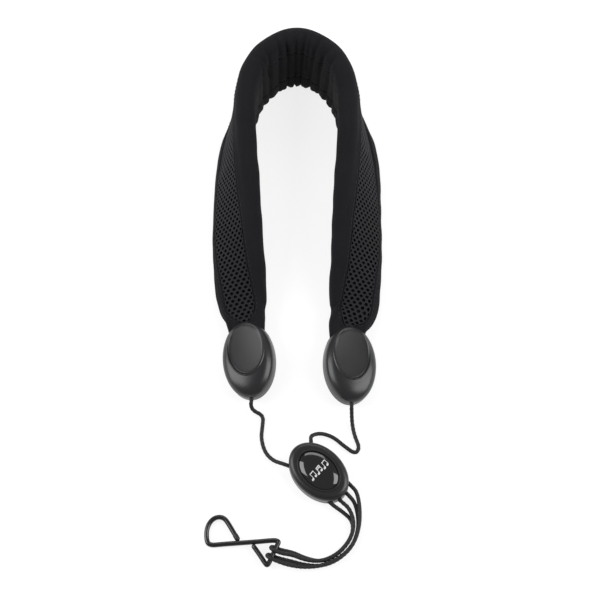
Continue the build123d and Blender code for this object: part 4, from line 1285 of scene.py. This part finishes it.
# %% [markdown]
# ## End caps
# Each cap's front is one smooth oval dome with a dish pressed into it, and a thin round rim
# between the two. A dome that is only rounded at its edge shows a flat, dead highlight, so this one
# is built ring by ring: the rings start on the cap's outline, slide over to the dish's own oval,
# roll over the rim and drop to the dish's floor. A superellipse gives the dome's height, which is
# full at the sides and nearly level on top.

# %% One ring of points for each step from the outline to the middle of the dish
CAP_TURNS = 96
CAP_HALF = (CAP_SIZES["width"] / 2, CAP_SIZES["length"] / 2)
CAP_RISE = 7.9
DOME_POWER, DOME_ROOT = 3.6, 1 / 2.6
DISH_HALF = (11.3, 16.8)
DISH_MIDDLE = 5.3
RIM_WIDTH = 0.9
RIM_RISE = 0.42
FLOOR_AT_BAND, FLOOR_AT_CORD = 5.35, 5.75


def dome_height(x, y):
    """Height of a cap's dome, a superellipse of its distance from the middle."""
    out = min(1.0, math.hypot(x / CAP_HALF[0], y / CAP_HALF[1]))
    return CAP_RISE * (1 - out**DOME_POWER) ** DOME_ROOT


def oval_ring(half_x, half_y, middle_y):
    turns = [2 * math.pi * step / CAP_TURNS for step in range(CAP_TURNS)]
    return [(half_x * math.cos(turn), middle_y + half_y * math.sin(turn)) for turn in turns]


def cap_rings():
    """Rings from the outline over the dome and the rim, down the wall and over the dish's floor."""
    outline = oval_ring(*CAP_HALF, 0)
    rim = oval_ring(DISH_HALF[0] + RIM_WIDTH, DISH_HALF[1] + RIM_WIDTH, DISH_MIDDLE)
    lip = oval_ring(*DISH_HALF, DISH_MIDDLE)
    rings = [[(x * 0.992, y * 0.992, 0.0) for x, y in outline]]
    steps = 20
    for step in range(steps + 1):
        share = (step / steps) ** 2.2
        ring = []
        for (x0, y0), (x1, y1) in zip(outline, rim):
            x, y = x0 + (x1 - x0) * share, y0 + (y1 - y0) * share
            ring.append((x, y, max(dome_height(x, y), 0.25)))
        rings.append(ring)
    for step in range(1, 6):
        share = step / 6
        lift = RIM_RISE * math.sin(math.pi * share)
        ring = []
        for (x0, y0), (x1, y1) in zip(rim, lip):
            x, y = x0 + (x1 - x0) * share, y0 + (y1 - y0) * share
            ring.append((x, y, dome_height(x0, y0) + lift))
        rings.append(ring)
    for out in (0.995, 0.975, 0.94, 0.86, 0.72, 0.55, 0.35, 0.16):
        ring = []
        for (x1, y1), (x0, y0) in zip(lip, rim):
            y = DISH_MIDDLE + (y1 - DISH_MIDDLE) * out
            level = (y - DISH_MIDDLE) / (2 * DISH_HALF[1]) + 0.5
            floor = FLOOR_AT_CORD + (FLOOR_AT_BAND - FLOOR_AT_CORD) * level
            floor -= 0.45 * (1 - out * out)
            wall = min(1.0, max(0.0, (out - 0.94) / 0.055)) * 0.7
            ring.append((x1 * out, y, floor + wall * (dome_height(x0, y0) - floor)))
        rings.append(ring)
    return rings


def stacked(name, rings, bottom, top):
    """A closed mesh from rings of equal count, closed by a point under and a point over them."""
    count = len(rings[0])
    points = [point for ring in rings for point in ring] + [bottom, top]
    faces = []
    for level in range(len(rings) - 1):
        for step in range(count):
            after = (step + 1) % count
            low, high = level * count, (level + 1) * count
            faces.append((low + step, low + after, high + after, high + step))
    last = (len(rings) - 1) * count
    for step in range(count):
        after = (step + 1) % count
        faces.append((step, len(points) - 2, after))
        faces.append((last + step, last + after, len(points) - 1))
    return make_mesh(name, points, faces)


def placed(piece, origin, across, along, front):
    """Take a mesh from its own axes, in millimetres, to its place in the frame, in metres."""
    for vertex in piece.data.vertices:
        x, y, z = vertex.co
        vertex.co = (origin + across * x + along * y + front * z) * MM
    piece.data.update()
    return piece


for side in CAP_PLACES:
    rings = cap_rings()
    floor = rings[-1][0][2]
    front = stacked(f"{side}_cap_shell", rings, (0, 0, 0), (0, DISH_MIDDLE, floor))
    placed(front, *cap_axes(side))
    subdivide(front)
    dress(front, CAP_PLASTIC, "neck_strap", [f"{side}_cap_front"])

# %% [markdown]
# ## Adjuster and badge
# The adjuster's shells are right as they are in the frame, with their bores for the cord, so they
# only get a finish. The badge is different: it is a glossy dome, and gloss shows every flat. It is
# made again as one smooth lens, and reflects the two lamps as two crescents.
#
# The badge needs a mark. A short row of beamed notes is plain, fits a musician's strap and says
# nothing else.

# %% Badge
BADGE_HALF = (14.15, 9.85)
BADGE_FOOT, BADGE_EDGE, BADGE_RISE = 8.9, 10.7, 2.2
ADJUSTER_MIDDLE = Vector((SLIDER_MIDDLE.x, SLIDER_MIDDLE.y, 0)) / MM
ADJUSTER_AXES = (ADJUSTER_MIDDLE, SLIDE, SIDEWAYS, Vector((0, 0, 1)))


def badge_height(x, y):
    out = min(1.0, math.hypot(x / BADGE_HALF[0], y / BADGE_HALF[1]))
    return BADGE_EDGE + BADGE_RISE * (1 - out**3) ** 0.7


def badge_rings():
    rings = [[(x, y, BADGE_FOOT) for x, y in oval_ring(*BADGE_HALF, 0)]]
    for out in (1.0, 0.995, 0.985, 0.96, 0.92, 0.86, 0.78, 0.68, 0.56, 0.42, 0.28, 0.14):
        ring = oval_ring(BADGE_HALF[0] * out, BADGE_HALF[1] * out, 0)
        rings.append([(x, y, badge_height(x, y)) for x, y in ring])
    return rings


badge = stacked("adjuster_badge", badge_rings(), (0, 0, BADGE_FOOT), (0, 0, BADGE_EDGE + BADGE_RISE))
placed(badge, *ADJUSTER_AXES)
subdivide(badge)
dress(badge, BADGE_RESIN, "slider", ["slider_badge"])

# %% Notes on the badge, as flat outlines that are laid on its dome
PRINT_THICK = 0.24
HEAD_HALF = (0.92, 0.66)
STEM_WIDTH = 0.34
BEAM_WIDTH = 0.62


def note_head(x, y):
    tilt = math.radians(24)
    outline = []
    for step in range(14):
        turn = 2 * math.pi * step / 14
        a, b = HEAD_HALF[0] * math.cos(turn), HEAD_HALF[1] * math.sin(turn)
        outline.append((
            x + a * math.cos(tilt) - b * math.sin(tilt), y + a * math.sin(tilt) + b * math.cos(tilt)
        ))
    return outline


def bar(start, end, half_x, half_y):
    """A stem or a beam."""
    return [
        (start[0] - half_x, start[1] - half_y),
        (end[0] + half_x, end[1] - half_y),
        (end[0] + half_x, end[1] + half_y),
        (start[0] - half_x, start[1] + half_y),
    ]


def beamed_pair(x, beams):
    """Two notes joined by one or two beams, as a list of outlines."""
    tall, apart, slant = 3.7, 2.7, 0.4
    shapes = []
    for step in (0, 1):
        foot = (x + apart * step, -1.8 + slant * step)
        stem_x = foot[0] + HEAD_HALF[0] - 0.2
        shapes.append(note_head(*foot))
        middle = (stem_x, foot[1] + tall / 2)
        shapes.append(bar(middle, middle, STEM_WIDTH / 2, tall / 2))
    for beam in range(beams):
        top = -1.8 + tall - 0.25 - 1.0 * beam
        left = x + HEAD_HALF[0] - 0.2
        shapes.append(bar((left, top), (left + apart, top + slant), STEM_WIDTH / 2, BEAM_WIDTH / 2))
    return shapes


def badge_print():
    """The row of notes as thin plates that follow the badge's dome."""
    points, faces = [], []
    for x, beams in ((-6.6, 1), (-1.6, 2), (3.4, 1)):
        for outline in beamed_pair(x, beams):
            start, count = len(points), len(outline)
            for lift in (PRINT_THICK / 2, -PRINT_THICK / 2):
                for reading, rise in outline:
                    points.append((-rise, reading, badge_height(-rise, reading) + lift))
            faces.append([start + step for step in range(count)])
            faces.append([start + count + step for step in range(count)][::-1])
            for step in range(count):
                after = (step + 1) % count
                faces.append((start + count + step, start + count + after, start + after, start + step))
    return make_mesh("badge_notes", points, faces, smooth=False)


notes = placed(badge_print(), *ADJUSTER_AXES)
dress(notes, PRINT_INK, "slider")

# %% [markdown]
# ## Snap hook
# The hook is one springy wire. Its eye, shank and half of its loop stay still while the other half
# springs open. So it is two rods that meet at the place where the wire starts to bend, each with a
# round end, and the joint never opens a gap. A rod is swept along a smooth curve, like the cord,
# because bent wire has no sharp corners.

# %% Hook's own plane, from its two joints
HOOK_NORMAL = Vector(joints["hook_arm_flex"]["axis"]).normalized()
HOOK_X = Vector((-0.9965, -0.0610, -0.0565)).normalized()
HOOK_Y = HOOK_NORMAL.cross(HOOK_X)
WIRE_RADIUS = 1.5 * MM
WIRE_SIDES = 28
ROD_END = (0.98, 0.92, 0.8, 0.6, 0.38, 0.0)  # shares of the radius, from the tip to the full ring
SLEEVE_LENGTH = 2.6 * MM
SLEEVE_WALL = 0.14 * MM


def on_hook(x, y, z=0.0):
    return EYE + (HOOK_X * x + HOOK_Y * y + HOOK_NORMAL * z) * MM


def rod(name, line, radius):
    """A round rod along a line, with half-round ends."""
    onward = (line[1] - line[0]).normalized() * radius
    outward = (line[-1] - line[-2]).normalized() * radius
    spine = [(line[0] - onward * back, math.sqrt(1 - back * back)) for back in ROD_END]
    spine += [(point, 1.0) for point in line[1:-1]]
    spine += [(line[-1] + outward * back, math.sqrt(1 - back * back)) for back in ROD_END[::-1]]
    rings = []
    for number, (point, share) in enumerate(spine):
        ahead = spine[min(number + 1, len(spine) - 1)][0] - spine[max(number - 1, 0)][0]
        side = HOOK_NORMAL.cross(ahead).normalized()
        turns = [2 * math.pi * step / WIRE_SIDES for step in range(WIRE_SIDES)]
        rings.append([
            point + (side * math.cos(turn) + HOOK_NORMAL * math.sin(turn)) * radius * share for turn in turns
        ])
    tip = 1 - ROD_END[0]
    return stacked(name, rings, spine[0][0] - onward * tip, spine[-1][0] + outward * tip)


# %% Two rods and the tip's cover
WIRE_CORNERS = [
    (11.6, -4.7), (8.2, 0.6), (5.6, 5.4), (4.2, 7.3), (2.6, 5.1), (1.6, 2.9), (0.0, 0.0), (-2.6, -4.8),
    (-3.6, -6.6), (-1.8, -7.7), (3.0, -7.75), (8.0, -7.6), (20.0, -7.6), (32.0, -7.6), (36.4, -7.4),
    (39.0, -8.4), (39.75, -10.4), (39.85, -12.0),
]
ARM_CORNERS = [
    (39.85, -11.8), (39.95, -14.0), (39.5, -17.6), (37.9, -21.2), (35.2, -23.8), (31.7, -24.6), (28.5, -23.3),
    (26.4, -20.0), (23.8, -15.0), (21.4, -10.4),
]
wire_line = smooth_line([on_hook(*corner) for corner in WIRE_CORNERS])
arm_line = smooth_line([on_hook(*corner) for corner in ARM_CORNERS])
body_wire = rod("hook_body_wire", wire_line, WIRE_RADIUS)
dress(body_wire, HOOK_LACQUER, "hook", ["hook_wire"])
sprung_arm = rod("hook_sprung_arm", arm_line, WIRE_RADIUS)
dress(sprung_arm, HOOK_LACQUER, "hook_arm", ["hook_spring_arm"])
sleeve_start = next(i for i, point in enumerate(arm_line) if (point - arm_line[-1]).length < SLEEVE_LENGTH)
sleeve = rod("hook_tip_sleeve", arm_line[sleeve_start:], WIRE_RADIUS + SLEEVE_WALL)
dress(sleeve, TIP_PLASTIC, "hook_arm", ["hook_tip_cap"])
print(f"hook wire: {(line_length(wire_line) + line_length(arm_line)) / MM:.0f} mm")

# %% [markdown]
# ## Pieces that keep their own shape
# Screws, the caps' backs, the adjuster's shells and what is hidden inside are right as they come.
# They only need their finishes.

# %% Finishes of the frame's own pieces
KEPT_FINISHES = {
    "cap_back": CAP_PLASTIC,
    "cap_screw": SCREW_STEEL,
    "cord_knot": BRAIDED_CORD,
    "end_tab": TAB_WEBBING,
    "slider_back": ADJUSTER_PLASTIC,
    "slider_front": ADJUSTER_PLASTIC,
    "slider_screw": SCREW_STEEL,
    "slider_turn_pin": SCREW_STEEL,
    "slider_cord": BRAIDED_CORD,
}
for name, node in frame["nodes"].items():
    for part, material in KEPT_FINISHES.items():
        if part in name:
            node.data.materials.clear()
            node.data.materials.append(material)
print("kept pieces:", sum(not node.hide_render for node in frame["nodes"].values()))

# %% [markdown]
# ## Floor and light
# Black on white is lit from the sides. Two large soft lamps, left and right, give each plastic
# dome a broad highlight on both flanks and the badge its two crescents. A softer one behind lifts
# the band. The sky between them is dim, so that gloss facing the camera stays black.
#
# The photograph's floor is almost free of shadow, as over a light table. So most of this floor's
# brightness is its own, and its paint is dark: a floor lit by the lamps alone came out too bright
# and strongly shadowed.

# %% Floor, lamps and sky
FLOOR_HALF, FLOOR_DROP = 4.0, 0.2 * MM
FLOOR_PAINT, FLOOR_GLOW = (0.25, 0.25, 0.25, 1), 0.80
corners = [(-1, -1), (1, -1), (1, 1), (-1, 1)]
floor_points = [(x * FLOOR_HALF, y * FLOOR_HALF, -FLOOR_DROP) for x, y in corners]
floor = make_mesh("floor", floor_points, [(0, 1, 2, 3)])
paper, _, _ = start_material(
    "pale_floor", Base_Color=FLOOR_PAINT, Roughness=0.9,
    Emission_Color=(1, 1, 1, 1), Emission_Strength=FLOOR_GLOW,
)
floor.data.materials.append(paper)


def soft_lamp(name, place, width, height, power):
    """An oblong lamp that faces the middle of the frame."""
    data = bpy.data.lights.new(name, "AREA")
    data.shape = "RECTANGLE"
    data.size, data.size_y = width, height
    data.energy = power
    lamp = bpy.data.objects.new(name, data)
    scene.collection.objects.link(lamp)
    lamp.location = place
    lamp.rotation_euler = (Vector((0, 0, 0)) - Vector(place)).to_track_quat("-Z", "Y").to_euler()


SIDE_SIZE, SIDE_POWER = (0.8, 1.3), 14.5
soft_lamp("left_lamp", (-1.15, 0.05, 0.85), *SIDE_SIZE, SIDE_POWER)
soft_lamp("right_lamp", (1.15, -0.05, 0.85), *SIDE_SIZE, SIDE_POWER)
soft_lamp("back_lamp", (0.0, 1.3, 1.0), 1.4, 0.6, 7.0)
sky = bpy.data.worlds.new("sky")
sky.use_nodes = True
background = sky.node_tree.nodes["Background"]
background.inputs["Color"].default_value = (1, 1, 1, 1)
background.inputs["Strength"].default_value = 0.33
scene.world = sky
scene.view_settings.view_transform = "Standard"
